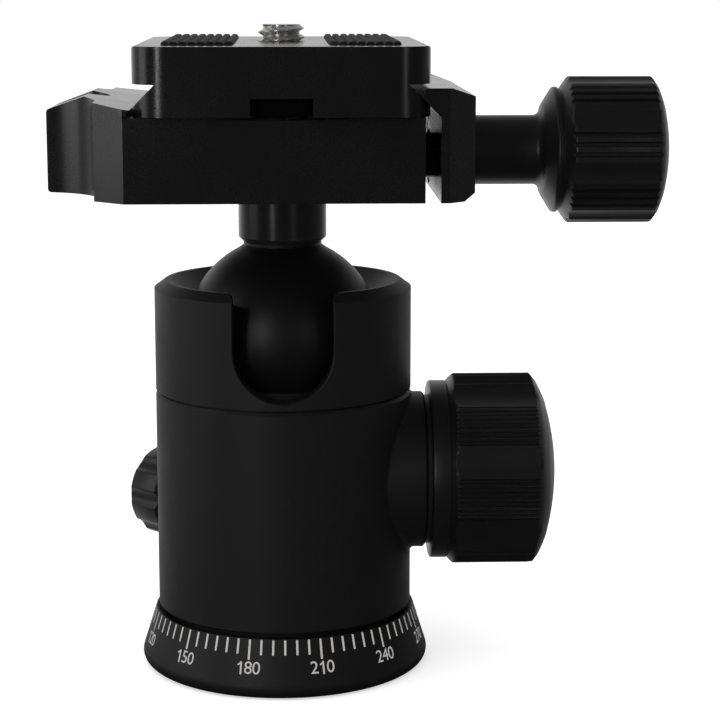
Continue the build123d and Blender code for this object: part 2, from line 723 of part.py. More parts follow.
clamp_body -= at_lead(rod_x(LEAD_START - 1.0, CLAMP_RIGHT, LEAD_R + SHAFT))
clamp_body -= rod_z(level_bottom, clamp_top, LEVEL_R, x=LEVEL_X)
for side in (-1, 1):
    guide = rod_x(GUIDE_START, GUIDE_END, GUIDE_R, y=side * GUIDE_Y, z=guide_z)
    clamp_body -= guide
    save(guide, "guide_pin_front" if side < 0 else "guide_pin_rear")
save(clamp_body, "clamp_body")

# Bullseye level in the ear: a cup, the liquid and its domed lens are one sealed vial under a ring.
level_vial = rod_z(level_bottom, ear_end_z - LEVEL_LENS_T, LEVEL_R, x=LEVEL_X)
save(level_vial, "level_vial")
level_ring = rod_z(ear_end_z - LEVEL_LENS_T, ear_end_z, LEVEL_R, x=LEVEL_X)
level_lens = rod_z(ear_end_z - LEVEL_LENS_T, ear_end_z, LEVEL_R - LEVEL_RING_T, x=LEVEL_X)
save(level_ring - level_lens, "level_ring")
save(level_lens, "level_lens")

# ---------------------------------------------------------------- movable jaw
clamp_jaw = profile_y(
    [
        (JAW_INNER, CLAMP_BOTTOM),
        (JAW_OUTER - JAW_FOOT_X, CLAMP_BOTTOM),
        (JAW_OUTER, CLAMP_BOTTOM + JAW_FOOT_Z),
        (JAW_OUTER, clamp_top - (JAW_OUTER - CLAMP_BEVEL_X) * clamp_bevel),
        (CLAMP_BEVEL_X, clamp_top),
        (JAW_NOSE_TOP_X, clamp_top),
        (JAW_NOSE_X, jaw_sum - JAW_NOSE_X),
        (JAW_INNER, jaw_sum - JAW_INNER),
    ],
    CLAMP_HALF_Y,
)
jaw_plan = make_face(
    Polyline(
        (JAW_NOSE_X, -CLAMP_HALF_Y),
        (JAW_OUTER - JAW_CORNER_X, -CLAMP_HALF_Y),
        (JAW_OUTER, -CLAMP_HALF_Y + JAW_CORNER_Y),
        (JAW_OUTER, CLAMP_HALF_Y - JAW_CORNER_Y),
        (JAW_OUTER - JAW_CORNER_X, CLAMP_HALF_Y),
        (JAW_NOSE_X, CLAMP_HALF_Y),
        close=True,
    )
)
clamp_jaw &= Pos(0, 0, CLAMP_BOTTOM) * extrude(jaw_plan, amount=clamp_top - CLAMP_BOTTOM)
clamp_jaw -= at_lead(rod_x(JAW_NOSE_X, JAW_OUTER, LEAD_R + SHAFT))
clip_seat_end = JAW_INNER + LEAD_CLIP_T + 2 * SHAFT
clamp_jaw -= at_lead(rod_x(JAW_NOSE_X, clip_seat_end, LEAD_CLIP_R + FREE))
for side in (-1, 1):
    bore = rod_x(JAW_NOSE_X, JAW_OUTER, GUIDE_R + SHAFT, y=side * GUIDE_Y, z=guide_z)
    clamp_jaw -= bore
save(clamp_jaw, "clamp_jaw")

# ---------------------------------------------------------------- clamp screw and knob
lead_groove_r = LEAD_R - 0.4
clip_x0 = JAW_INNER + SHAFT
clip_x1 = clip_x0 + LEAD_CLIP_T
lead_screw = lathe(
    [
        (LEAD_START, 0),
        (LEAD_START, LEAD_R - 0.5),
        (LEAD_START + 0.5, LEAD_R),
        (clip_x0, LEAD_R),
        (clip_x0, lead_groove_r),
        (clip_x1, lead_groove_r),
        (clip_x1, LEAD_R),
        (CK_LEAD_END, LEAD_R),
        (CK_LEAD_END, 0),
    ]
)
save(at_lead(lead_screw), "lead_screw")
lead_clip = rod_x(clip_x0, clip_x1, LEAD_CLIP_R) - rod_x(clip_x0, clip_x1, lead_groove_r)
lead_clip -= block(clip_x0, clip_x1, -1.0, 1.0, -LEAD_CLIP_R, 0)
save(at_lead(lead_clip), "lead_clip")
thrust_washer = rod_x(thrust_x, thrust_x + THRUST_T, THRUST_R)
thrust_washer -= rod_x(thrust_x, thrust_x + THRUST_T, LEAD_R + SHAFT)
save(at_lead(thrust_washer), "thrust_washer")

ck_groove_r = CK_STEP_R - CK_STEP_GROOVE
ck_cone_x = CK_STEP_X + CK_STEP_GROOVE_L
clamp_knob = lathe(
    [
        (ck_x, LEAD_R),
        (ck_x, CK_NECK_R),
        (CK_NECK_END, CK_NECK_R),
        (CK_NECK_END + CK_FLARE_X, CK_NECK_R + CK_FLARE_R),
        (CK_HUB_X, CK_HUB_ROOT_R),
        (CK_STEP_X - CK_STEP_L, CK_STEP_R),
        (CK_STEP_X, CK_STEP_R),
        (CK_STEP_X, ck_groove_r),
        (ck_cone_x, ck_groove_r),
        (CK_GRIP_X, CK_GRIP_R),
        (CK_GRIP_END, CK_GRIP_R),
        (CK_GRIP_END + CK_END_BEVEL_X, CK_GRIP_R - CK_END_BEVEL_R),
        (CK_END_X, CK_CAP_R),
        (CK_END_X - CK_CAP_T, CK_CAP_R),
        (CK_END_X - CK_CAP_T, 0),
        (CK_LEAD_END, 0),
        (CK_LEAD_END, LEAD_R),
    ]
)
ck_front = rod_x(ck_cone_x, CK_END_X + 1, CK_GRIP_R + 1)
ck_body = scalloped(clamp_knob & ck_front, CK_LOBES, CK_GRIP_R, CK_SCALLOP_R, CK_SCALLOP_D, CK_SCALLOP_TURN)
clamp_knob = (clamp_knob - ck_front) + ck_body
save(at_lead(clamp_knob), "clamp_knob")
ck_dome_r = (CK_CAP_R**2 + CK_DOME**2) / (2 * CK_DOME)
ck_cap = rod_x(CK_END_X - CK_CAP_T, CK_END_X + CK_DOME, CK_CAP_R)
ck_cap &= Pos(CK_END_X + CK_DOME - ck_dome_r, 0, 0) * Sphere(ck_dome_r)
save(at_lead(ck_cap), "clamp_knob_cap")

# ---------------------------------------------------------------- quick-release plate
quick_plate = profile_y(
    [
        (-PLATE_FOOT_HALF, plate_z),
        (PLATE_FOOT_HALF, plate_z),
        (PLATE_FOOT_HALF, plate_foot_z),
        (plate_neck_half, plate_neck_z),
        (PLATE_FLANGE_HALF, plate_neck_z),
        (PLATE_FLANGE_HALF, plate_top - EDGE),
        (PLATE_FLANGE_HALF - EDGE, plate_top),
        (-PLATE_FLANGE_HALF + EDGE, plate_top),
        (-PLATE_FLANGE_HALF, plate_top - EDGE),
        (-PLATE_FLANGE_HALF, plate_neck_z),
        (-plate_neck_half, plate_neck_z),
        (-PLATE_FOOT_HALF, plate_foot_z),
    ],
    PLATE_HALF_Y,
)
plate_plan = RectangleRounded(2 * PLATE_FLANGE_HALF, 2 * PLATE_HALF_Y, PLATE_CORNER_R)
quick_plate &= Pos(0, 0, plate_z) * extrude(plate_plan, amount=plate_top - plate_z)
half_channel = CHANNEL_W / 2
quick_plate -= block(-half_channel, half_channel, -PLATE_HALF_Y, PLATE_HALF_Y, plate_z, plate_z + CHANNEL_H)
quick_plate -= rod_z(plate_z, web_z, HEAD_POCKET_R)
quick_plate -= rod_z(web_z, plate_top, web_hole_r)
pad_plan = RectangleRounded(PAD_W, 2 * PAD_HALF_Y, PAD_CORNER_R)
pad_floor = plate_top - PAD_SINK
for side, name in ((-1, "pad_left"), (1, "pad_right")):
    pad = Pos(side * PAD_X, 0, pad_floor) * extrude(pad_plan, amount=PAD_SINK + PAD_PROUD)
    quick_plate -= pad
    save(pad, name)
save(quick_plate, "quick_plate")

shank_step = CAMERA_SCREW_R - CAMERA_SHANK_R
camera_screw = upright(
    [
        (0, camera_head_z),
        (CAMERA_HEAD_R - EDGE, camera_head_z),
        (CAMERA_HEAD_R, camera_head_z + EDGE),
        (CAMERA_HEAD_R, camera_head_top),
        (CAMERA_SHANK_R, camera_head_top),
        (CAMERA_SHANK_R, camera_tip - CAMERA_THREAD_L - shank_step),
        (CAMERA_SCREW_R, camera_tip - CAMERA_THREAD_L),
        (CAMERA_SCREW_R, camera_tip - 0.4),
        (CAMERA_SCREW_R - 0.4, camera_tip),
        (0, camera_tip),
    ]
)
half_slot = CAMERA_SLOT_W / 2
camera_screw -= block(
    -CAMERA_HEAD_R, CAMERA_HEAD_R, -half_slot, half_slot, camera_head_z, camera_head_z + CAMERA_SLOT_D
)
save(camera_screw, "camera_screw")
screw_washer = rod_z(camera_washer_z, camera_washer_z + CAMERA_WASHER_T, CAMERA_WASHER_R)
screw_washer -= rod_z(camera_washer_z, camera_washer_z + CAMERA_WASHER_T, web_hole_r)
save(screw_washer, "screw_washer")
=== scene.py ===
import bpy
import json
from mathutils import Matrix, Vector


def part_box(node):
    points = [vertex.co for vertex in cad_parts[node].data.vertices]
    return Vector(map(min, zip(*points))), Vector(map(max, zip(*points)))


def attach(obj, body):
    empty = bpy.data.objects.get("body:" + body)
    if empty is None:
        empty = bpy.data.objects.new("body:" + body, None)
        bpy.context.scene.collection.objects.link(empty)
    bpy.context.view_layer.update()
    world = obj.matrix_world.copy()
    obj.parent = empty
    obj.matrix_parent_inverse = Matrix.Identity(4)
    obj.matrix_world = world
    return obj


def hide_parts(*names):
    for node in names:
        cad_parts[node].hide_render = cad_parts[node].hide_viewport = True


bl_info = {
    "name": "Tripod ball head",
    "version": (1, 0, 0),
    "blender": (4, 5, 0),
    "location": "3D View > Sidebar > Ball Head",
    "description": "Finishes a tripod ball head: grips, threads, scale, pads, level and materials",
    "category": "Object",
}

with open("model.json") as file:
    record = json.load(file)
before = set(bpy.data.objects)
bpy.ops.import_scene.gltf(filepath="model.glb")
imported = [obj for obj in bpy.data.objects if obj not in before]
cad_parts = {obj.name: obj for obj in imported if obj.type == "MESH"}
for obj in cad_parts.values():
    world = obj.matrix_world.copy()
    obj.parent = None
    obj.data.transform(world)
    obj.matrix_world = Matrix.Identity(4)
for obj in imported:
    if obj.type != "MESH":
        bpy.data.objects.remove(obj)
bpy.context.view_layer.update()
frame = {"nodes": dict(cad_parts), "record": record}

import json
from math import atan2, ceil, cos, hypot, pi, radians, sin, sqrt

import bmesh
import bpy
from bpy.props import FloatProperty, FloatVectorProperty, IntProperty, PointerProperty
from mathutils import Matrix, Vector

MM = 0.001
WELD = 1e-7  # vertices nearer than this become one
FINE_WELD = 1e-8  # the same, for marks and ridges that lie close together
SHARP = radians(32)  # edges that turn more than this are drawn sharp
WIDE_SHARP = radians(50)  # the same, for rounded edges and ridges

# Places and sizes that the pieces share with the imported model, in millimetres.
MAIN_Z = 27.5
PAN_Z = 20.6
PAN_AZIMUTH = 135.0
LEAD_Z = 73.0
LEAD_THREAD_END = 20.4
LEAD_CREST_R = 3.0
LEAD_ROOT_R = 2.42
CAMERA_CREST_R = 3.175
CAMERA_ROOT_R = 2.5
CAMERA_THREAD = 4.9
BASE_H = 8.1
BASE_RIM_R = 18.4
BASE_SKIRT_R = 20.97

# Sections of the grips as (distance from the head's axis, radius) in millimetres, closed from
# the back of the bore over the outside to the pocket for the cap.
MAIN_PROFILE = (
    # back flange and the cone that widens to the grip
    (20.55, 3.05), (20.55, 12.35), (20.65, 12.58), (20.85, 12.65), (22.9, 12.65),
    (23.05, 12.55), (23.12, 12.62), (23.4, 12.95), (23.7, 13.28), (23.9, 13.52),
    (24.05, 13.66), (24.15, 13.7),
    # grip and rounded nose
    (34.85, 13.7), (35.0, 13.6), (35.2, 13.38), (35.45, 13.06), (35.75, 12.7),
    (36.0, 12.25), (36.4, 11.45), (36.62, 10.95), (36.8, 10.55), (36.95, 10.15),
    (37.0, 9.95), (36.9, 9.92),
    # pocket for the cap
    (35.5, 9.9), (35.5, 3.05),
)
CLAMP_PROFILE = (
    # sleeve and hub
    (25.86, 3.02), (25.86, 4.65), (26.0, 4.8), (34.9, 4.8), (35.2, 4.86), (35.5, 5.03),
    (35.75, 5.36), (35.93, 5.85), (36.03, 6.25), (36.15, 6.5), (36.35, 6.8), (37.35, 8.42),
    # shoulder with its groove, and the cone that widens to the grip
    (37.5, 8.6), (37.7, 8.7), (38.05, 8.7), (38.16, 8.66), (38.2, 8.55), (38.24, 8.46),
    (38.5, 8.46), (38.56, 8.52), (38.8, 8.85), (39.1, 9.28), (39.4, 9.7), (39.6, 9.98),
    (39.75, 10.1), (39.95, 10.15),
    # grip and rounded nose
    (51.1, 10.15), (51.25, 10.08), (51.45, 9.83), (51.7, 9.48), (51.95, 9.15), (52.2, 8.55),
    (52.45, 7.95), (52.62, 7.5), (52.7, 7.25), (52.62, 7.21),
    # pocket for the cap
    (51.3, 7.2), (51.3, 3.02),
)
PAN_PROFILE = (
    # back collar and the step up to the grip
    (19.0, 2.02), (19.0, 5.3), (19.12, 5.4), (19.95, 5.4), (20.05, 5.5), (20.15, 5.85),
    (20.28, 6.2), (20.4, 6.5), (20.55, 6.66), (20.7, 6.7),
    # grip and rounded nose
    (25.55, 6.7), (25.75, 6.62), (25.95, 6.4), (26.2, 6.12), (26.42, 5.88), (26.5, 5.7),
    # pocket for the cap
    (26.5, 4.25), (26.45, 4.2), (25.3, 4.2), (25.3, 2.02),
)


# ---------------------------------------------------------------- settings
def length(name, text, value):
    """A length, given in millimetres."""
    return FloatProperty(
        name=name, description=text, default=value * MM, min=0.0, unit="LENGTH", precision=5
    )


def turn(name, text, value):
    """An angle, given in degrees."""
    return FloatProperty(name=name, description=text, default=radians(value), subtype="ANGLE")


def count(name, text, value):
    """A whole number."""
    return IntProperty(name=name, description=text, default=value, min=1)


def colour(name, text, value):
    """A colour, as linear red, green and blue."""
    return FloatVectorProperty(
        name=name, description=text, default=value, size=3, min=0.0, max=1.0, subtype="COLOR"
    )


def share(name, text, value):
    """A number from 0 to 1."""
    return FloatProperty(
        name=name, description=text, default=value, min=0.0, max=1.0, subtype="FACTOR"
    )


def strength(name, text, value):
    """The strength of a light."""
    return FloatProperty(name=name, description=text, default=value, min=0.0)


class BallHeadSizes(bpy.types.PropertyGroup):
    """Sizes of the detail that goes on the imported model."""

    tick_width: length("Tick width", "Width of a line of the degree scale", 0.29)
    tick_short: length("Short tick", "Length of a 5 degree line", 2.05)
    tick_long: length("Long tick", "Length of a 30 degree line", 2.75)
    tick_inset: length("Tick inset", "From the ring's top edge to the lines", 0.12)
    digit_height: length("Digit height", "Height of the scale's numbers", 1.75)
    digit_drop: length("Digit drop", "From the ring's top edge to the middle of the numbers", 4.02)
    digit_step: length("Digit step", "From the middle of one figure to the next", 1.14)
    digit_stroke: length("Digit stroke", "Width of the strokes of a 1", 0.25)
    paint_height: length("Paint height", "How far the scale stands proud of the ring", 0.012)
    scale_front: turn("Scale at the front", "Reading that faces the front", 195.0)
    main_lobes: count("Main knob lobes", "Rib groups round the main knob", 8)
    main_hollow: length("Main knob hollows", "Depth of the hollows between the groups", 0.5)
    main_cutter: length("Main knob cutter", "Radius of the cutter of the hollows", 12.0)
    main_ribs: count("Main knob ribs", "Ribs in each group", 9)
    main_rib_span: turn("Rib group", "Angle that one group of ribs takes", 25.2)
    main_rib_depth: length("Rib depth", "Depth of the grooves between the ribs", 0.26)
    main_turn: turn("Main knob turn", "Middle of a hollow, above the front", 16.2)
    clamp_lobes: count("Clamp knob lobes", "Groove groups round the clamp knob", 8)
    clamp_hollow: length("Clamp knob hollows", "Depth of the hollows between the groups", 0.35)
    clamp_cutter: length("Clamp knob cutter", "Radius of the cutter of the hollows", 5.0)
    clamp_grooves: count("Clamp knob grooves", "Grooves in each group", 3)
    clamp_groove_step: turn("Groove step", "Angle between two grooves", 7.8)
    clamp_groove_width: length("Groove width", "Width of a groove at the surface", 0.68)
    clamp_groove_depth: length("Groove depth", "Depth of a groove", 0.42)
    clamp_turn: turn("Clamp knob turn", "Middle of a hollow, above the front", 30.5)
    pan_lobes: count("Pan knob lobes", "Lobes round the pan knob", 8)
    pan_hollow: length("Pan knob hollows", "Depth of the hollows between the lobes", 0.55)
    pan_cutter: length("Pan knob cutter", "Radius of the cutter of the hollows", 1.9)
    camera_pitch: length("Camera thread pitch", "1/4 inch, 20 turns per inch", 1.27)
    lead_pitch: length("Clamp screw pitch", "Pitch of the clamp screw", 1.0)
    pad_corner: length("Pad corner", "Radius of the pads' corners", 2.0)
    pad_ridge: length("Pad ridge", "Distance between the pads' ridges", 1.18)
    pad_ridge_depth: length("Pad ridge depth", "Depth between the ridges", 0.42)
    bubble: length("Bubble", "Radius of the level's bubble", 1.15)
    circle: length("Circle", "Inner radius of the level's circle", 1.5)
    edge: length("Broken edge", "Rounding of machined edges", 0.22)


class BallHeadColours(bpy.types.PropertyGroup):
    """Colours and finishes."""

    body: colour("Body", "Anodised body and base", (0.0050, 0.0049, 0.0049))
    clamp: colour("Clamp", "Blasted and anodised clamp and plate", (0.0043, 0.0045, 0.0051))
    knob: colour("Knobs", "Anodised knobs", (0.0056, 0.0056, 0.0056))
    ball: colour("Ball", "Hard-coated ball", (0.0030, 0.0030, 0.0030))
    stem: colour("Stem", "Turned stem", (0.0110, 0.0115, 0.0125))
    steel: colour("Steel", "Stainless steel", (0.60, 0.58, 0.55))
    # On the camera screw's head this dark finish is painted shade of the plate's channel.
    dark_steel: colour("Dark steel", "Black oxide steel", (0.030, 0.030, 0.032))
    brass: colour("Brass", "Bushes and shoes", (0.62, 0.44, 0.18))
    plastic: colour("Washers", "Low-friction washers", (0.70, 0.68, 0.62))
    # Dark plastic that also paints the shade in the knobs' gaps and under the ball in the notch.
    dark_plastic: colour("Bearing plastic", "Pressure cup and knob washers", (0.012, 0.012, 0.012))
    paint: colour("Scale", "Paint of the degree scale", (0.50, 0.48, 0.44))
    rubber: colour("Pads", "Rubber of the pads", (0.010, 0.010, 0.010))
    # Felt, near-black so that the channel stops also paint the shade deep in the plate's channel.
    felt: colour("Felt", "Felt in the plate's channel", (0.0016, 0.0016, 0.0016))
    liquid: colour("Level", "Liquid in the level", (0.42, 0.62, 0.05))
    lens: colour("Level lens", "Tint of the level's lens", (0.86, 0.95, 0.72))
    body_roughness: share("Body roughness", "Roughness of the anodised body", 0.54)
    clamp_roughness: share("Clamp roughness", "Roughness of the blasted clamp", 0.25)
    knob_roughness: share("Knob roughness", "Roughness of the knobs", 0.36)
    ball_roughness: share("Ball roughness", "Roughness of the ball", 0.42)
    stem_roughness: share("Stem roughness", "Roughness of the stem", 0.20)


class StudioSettings(bpy.types.PropertyGroup):
    """Camera and light."""

    camera_distance: length("Camera distance", "From the turning axis to the camera", 294.3)
    camera_height: length("Camera height", "Camera above the floor", 96.3)
    camera_tilt: turn("Camera tilt", "How far the camera looks down", 10.2)
    camera_aim: turn("Camera aim", "How far the camera aims to the right of the axis", 2.11)
    lens: FloatProperty(
        name="Lens", description="Focal length", default=105.65, min=1.0, unit="CAMERA"
    )
    floor: share("Floor", "Shade of the floor", 0.80)
    floor_glow: strength("Floor glow", "Light of the floor's own, where the camera sees it", 0.52)
    fill: strength("Fill", "Strength of the even light", 0.78)
    key: strength("Lamps", "Strength of the soft lamps", 1.0)


# ---------------------------------------------------------------- shared tools
def settings():
    """(sizes, colours, studio) of the scene."""
    scene = bpy.context.scene
    return scene.ball_head_sizes, scene.ball_head_colours, scene.ball_head_studio


def put(bm, name, body, finish, replaces=(), sharp=SHARP):
    """Turn a finished bmesh into a named piece that rides on a body."""
    if not bm.faces:
        raise RuntimeError(f"{name} has no faces")
    mesh = bpy.data.meshes.new(name)
    bm.to_mesh(mesh)
    bm.free()
    mesh.materials.append(finish)
    mesh.shade_smooth()
    mesh.set_sharp_from_angle(angle=sharp)
    piece = bpy.data.objects.new(name, mesh)
    bpy.context.scene.collection.objects.link(piece)
    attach(piece, body)
    if replaces:
        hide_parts(*replaces)
    return piece


def flatten_shading(piece):
    """Shade wide faces flat and let the rounded edges carry the turn between them."""
    weighting = piece.modifiers.new("weighted", "WEIGHTED_NORMAL")
    weighting.keep_sharp = True
    weighting.weight = 100
    shaded = piece.evaluated_get(bpy.context.evaluated_depsgraph_get())
    mesh = bpy.data.meshes.new_from_object(shaded)
    piece.modifiers.remove(weighting)
    rough, piece.data = piece.data, mesh
    bpy.data.meshes.remove(rough)
    mesh.name = piece.name


def weld(bm, near=WELD):
    """Merge the vertices that lie on one another."""
    bmesh.ops.remove_doubles(bm, verts=bm.verts, dist=near)


def face_outwards(bm):
    """Point every face of a closed shape outwards."""
    bmesh.ops.recalc_face_normals(bm, faces=bm.faces)


def close_ends(bm):
    """Fill each open loop with one face."""
    bmesh.ops.holes_fill(bm, edges=[e for e in bm.edges if e.is_boundary], sides=0)
    face_outwards(bm)


def node_copy(node):
    """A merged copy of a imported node's mesh."""
    bm = bmesh.new()
    bm.from_mesh(frame["nodes"][node].data)
    weld(bm)
    return bm


def chain(bm, points):
    """Vertices and edges through points, the start of a spin."""
    verts = [bm.verts.new(p) for p in points]
    edges = [bm.edges.new(pair) for pair in zip(verts, verts[1:])]
    return verts + edges


def edges_between(verts):
    """The edges that join the given vertices, each once."""
    inside = set(verts)
    touching = dict.fromkeys(e for v in verts for e in v.link_edges)
    return [e for e in touching if inside.issuperset(e.verts)]


def only_verts(made):
    """The vertices among what an operator made."""
    return [part for part in made["geom"] if isinstance(part, bmesh.types.BMVert)]


def round_edges(bm, edges, width):
    """Bevel edges with a round of three steps."""
    return bmesh.ops.bevel(
        bm,
        geom=edges,
        offset=width,
        offset_type="OFFSET",
        affect="EDGES",
        segments=3,
        profile=0.5,
        clamp_overlap=True,
        material=-1,
    )


def soften(bm, width, least=radians(30)):
    """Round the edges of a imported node's copy where its faces turn by more than the least."""
    bmesh.ops.dissolve_limit(
        bm,
        angle_limit=radians(0.3),
        use_dissolve_boundaries=False,
        verts=bm.verts,
        edges=bm.edges,
    )
    hard = [e for e in bm.edges if len(e.link_faces) == 2 and e.calc_face_angle(0.0) > least]
    round_edges(bm, hard, width)
    bmesh.ops.triangulate(bm, faces=[f for f in bm.faces if len(f.verts) > 4])


def slice_off(bm, place, away, slack=1e-8):
    """Remove what lies past a plane, on the side that away points to."""
    bmesh.ops.bisect_plane(
        bm,
        geom=bm.verts[:] + bm.edges[:] + bm.faces[:],
        dist=slack,
        plane_co=place,
        plane_no=away,
        clear_outer=True,
    )


def cut_node(node, place, away):
    """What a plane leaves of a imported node, closed."""
    bm = node_copy(node)
    slice_off(bm, place, away)
    close_ends(bm)
    return bm


def thread(bm, crest, root, pitch, low, high, steps=40):
    """A right-hand screw thread about Z between two heights, with flat ends."""
    turns = ceil((high - low) / pitch) + 2
    start = low - pitch
    # One turn's section as (share of the pitch, radius).
    shape = ((0, root), (1 / 8, root), (7 / 16, crest), (9 / 16, crest), (7 / 8, root), (1, root))
    profile = chain(bm, [(r, 0, start + along * pitch) for along, r in shape])
    bmesh.ops.spin(
        bm,
        geom=profile,
        cent=(0, 0, 0),
        axis=(0, 0, 1),
        dvec=(0, 0, pitch / steps),
        angle=2 * pi * turns,
        steps=steps * turns,
        use_merge=False,
        use_normal_flip=False,
        use_duplicate=False,
    )
    weld(bm, pitch * 1e-4)
    slice_off(bm, (0, 0, low), (0, 0, -1), slack=1e-9)
    slice_off(bm, (0, 0, high), (0, 0, 1), slack=1e-9)


def from_nearest(angle, place, step):
    """Angle from the nearest of the places that repeat at a step."""
    return (angle - place + step / 2) % step - step / 2


def hollow(angle, middle, lobes, radius, depth, cutter):
    """Radius that equal round hollows leave at an angle, one of them at the middle angle."""
    off = from_nearest(angle, middle, 2 * pi / lobes)
    reach = radius - depth + cutter
    under = cutter**2 - (reach * sin(off)) ** 2
    return min(radius, reach * cos(off) - sqrt(under)) if under > 0 else radius


def fluted_body(bm, stations, cut, segments):
    """A solid turned about X through closed (x, radius) stations, cut back to cut(angle).

    The angle is 0 towards the front and rises towards the top."""
    ring = bmesh.ops.create_circle(bm, cap_ends=False, radius=1.0, segments=segments)["verts"]
    first = list(ring)
    angle_of = {v: atan2(v.co.y, v.co.x) for v in ring}

    def place(verts, x, radius):
        for v in verts:
            r = min(radius, cut(angle_of[v]))
            v.co = Vector((x, -r * cos(angle_of[v]), r * sin(angle_of[v])))

    place(ring, *stations[0])
    for x, radius in stations[1:]:
        angle_at = {tuple(v.co): angle_of[v] for v in ring}
        ring = only_verts(bmesh.ops.extrude_edge_only(bm, edges=edges_between(ring)))
        for v in ring:
            angle_of[v] = angle_at[tuple(v.co)]
        place(ring, x, radius)
    bmesh.ops.bridge_loops(bm, edges=edges_between(ring) + edges_between(first))
    face_outwards(bm)


def make_grip(node, profile, cut, segments, height, azimuth=0.0):
    """Turn a knob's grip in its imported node's place; the knob's body has the node's name."""
    bm = bmesh.new()
    fluted_body(bm, [(x * MM, r * MM) for x, r in profile], cut, segments)
    swing = Matrix.Rotation(radians(azimuth), 3, "Z")
    bmesh.ops.rotate(bm, cent=(0, 0, 0), matrix=swing, verts=bm.verts)
    bmesh.ops.translate(bm, vec=(0, 0, height * MM), verts=bm.verts)
    put(bm, f"{node}_grip", node, finishes()["knob"], [node])


def largest_radius(profile):
    """Radius of a grip at its widest, in metres."""
    return max(radius for _, radius in profile) * MM


# ---------------------------------------------------------------- finishes
FINE = 5200  # grain of machined, blasted and anodised metal, in cycles per metre
SLOW = 90  # changes of gloss across a piece, in cycles per metre


def add(tree, kind, links=(), **values):
    """A shader node with its inputs set by name, and links as (input, socket) pairs."""
    made = tree.nodes.new(kind)
    for key, value in values.items():
        if hasattr(made, key) and key not in made.inputs:
            setattr(made, key, value)
        else:
            made.inputs[key.replace("_", " ")].default_value = value
    for key, socket in links:
        tree.links.new(socket, made.inputs[key])
    return made


def blank(name):
    """(material, node tree, principled shader)"""
    made = bpy.data.materials.new(name)
    made.use_nodes = True
    tree = made.node_tree
    return made, tree, tree.nodes["Principled BSDF"]


def grain(tree, scale, detail, stretch=(1, 1, 1)):
    """Fac socket of a noise on Object coordinates; scale is in cycles per metre."""
    where = add(tree, "ShaderNodeTexCoord")
    mapped = add(tree, "ShaderNodeMapping", [("Vector", where.outputs["Object"])], Scale=stretch)
    made = add(
        tree,
        "ShaderNodeTexNoise",
        [("Vector", mapped.outputs["Vector"])],
        Scale=scale,
        Detail=detail,
    )
    return made.outputs["Fac"]


def spread(tree, socket, low, high, start=0.3, end=0.7):
    """The socket's range from start to end, carried to low and high."""
    made = add(
        tree,
        "ShaderNodeMapRange",
        [("Value", socket)],
        From_Min=start,
        From_Max=end,
        To_Min=low,
        To_Max=high,
    )
    return made.outputs["Result"]


def tinted(tree, shader, base, socket, low, high):
    """Base colour between two shades of one colour, picked by a socket."""
    mixed = add(tree, "ShaderNodeMix", [("Factor", socket)], data_type="RGBA")
    mixed.inputs["A"].default_value = (*[c * low for c in base], 1)
    mixed.inputs["B"].default_value = (*[c * high for c in base], 1)
    tree.links.new(mixed.outputs["Result"], shader.inputs["Base Color"])


def bumped(tree, shader, socket, height, amount):
    """A bump from a socket, its height in millimetres."""
    made = add(
        tree, "ShaderNodeBump", [("Height", socket)], Distance=height * MM, Strength=amount
    )
    tree.links.new(made.outputs["Normal"], shader.inputs["Normal"])


def anodised(name, base, roughness, scale, bump, lift=1.35, stretch=(1, 1, 1), specular=0.5):
    """Dyed, anodised aluminium: fine grain, lifted at its brightest, and slow changes of gloss."""
    made, tree, shader = blank(name)
    shader.inputs["Specular IOR Level"].default_value = specular
    fine = grain(tree, scale, 2.0, stretch)
    slow = grain(tree, SLOW, 3.0)
    tinted(tree, shader, base, spread(tree, fine, 0, 1, 0.35, 0.75), 0.8, lift)
    mixed = add(tree, "ShaderNodeMath", operation="MULTIPLY")
    tree.links.new(spread(tree, slow, 0.92, 1.10), mixed.inputs[0])
    tree.links.new(spread(tree, fine, roughness * 0.90, roughness * 1.12), mixed.inputs[1])
    tree.links.new(mixed.outputs[0], shader.inputs["Roughness"])
    bumped(tree, shader, fine, bump, 0.35)
    return made


def metal(name, base, roughness):
    """Bare machined metal."""
    made, tree, shader = blank(name)
    shader.inputs["Metallic"].default_value = 0.85
    fine = grain(tree, FINE, 3.0)
    tinted(tree, shader, base, fine, 0.92, 1.08)
    gloss = spread(tree, fine, roughness * 0.9, roughness * 1.12)
    tree.links.new(gloss, shader.inputs["Roughness"])
    bumped(tree, shader, fine, 0.001, 0.3)
    return made


def moulded(name, base, roughness, scale=1800, bump=0.01, specular=0.4):
    """Plastic, rubber, felt, paint or liquid."""
    made, tree, shader = blank(name)
    shader.inputs["Specular IOR Level"].default_value = specular
    fine = grain(tree, scale, 3.0)
    tinted(tree, shader, base, fine, 0.88, 1.10)
    gloss = spread(tree, fine, roughness * 0.9, roughness * 1.08)
    tree.links.new(gloss, shader.inputs["Roughness"])
    bumped(tree, shader, fine, bump, 0.4)
    return made


def lens_glass(name, tint):
    """Clear, slightly tinted glass, thin enough to show what lies under it."""
    made, tree, shader = blank(name)
    shader.inputs["Base Color"].default_value = (*tint, 1)
    shader.inputs["Alpha"].default_value = 0.16
    shader.inputs["IOR"].default_value = 1.49
    fine = grain(tree, 400, 2.0)
    tree.links.new(spread(tree, fine, 0.02, 0.06), shader.inputs["Roughness"])
    return made


made_finishes = {}


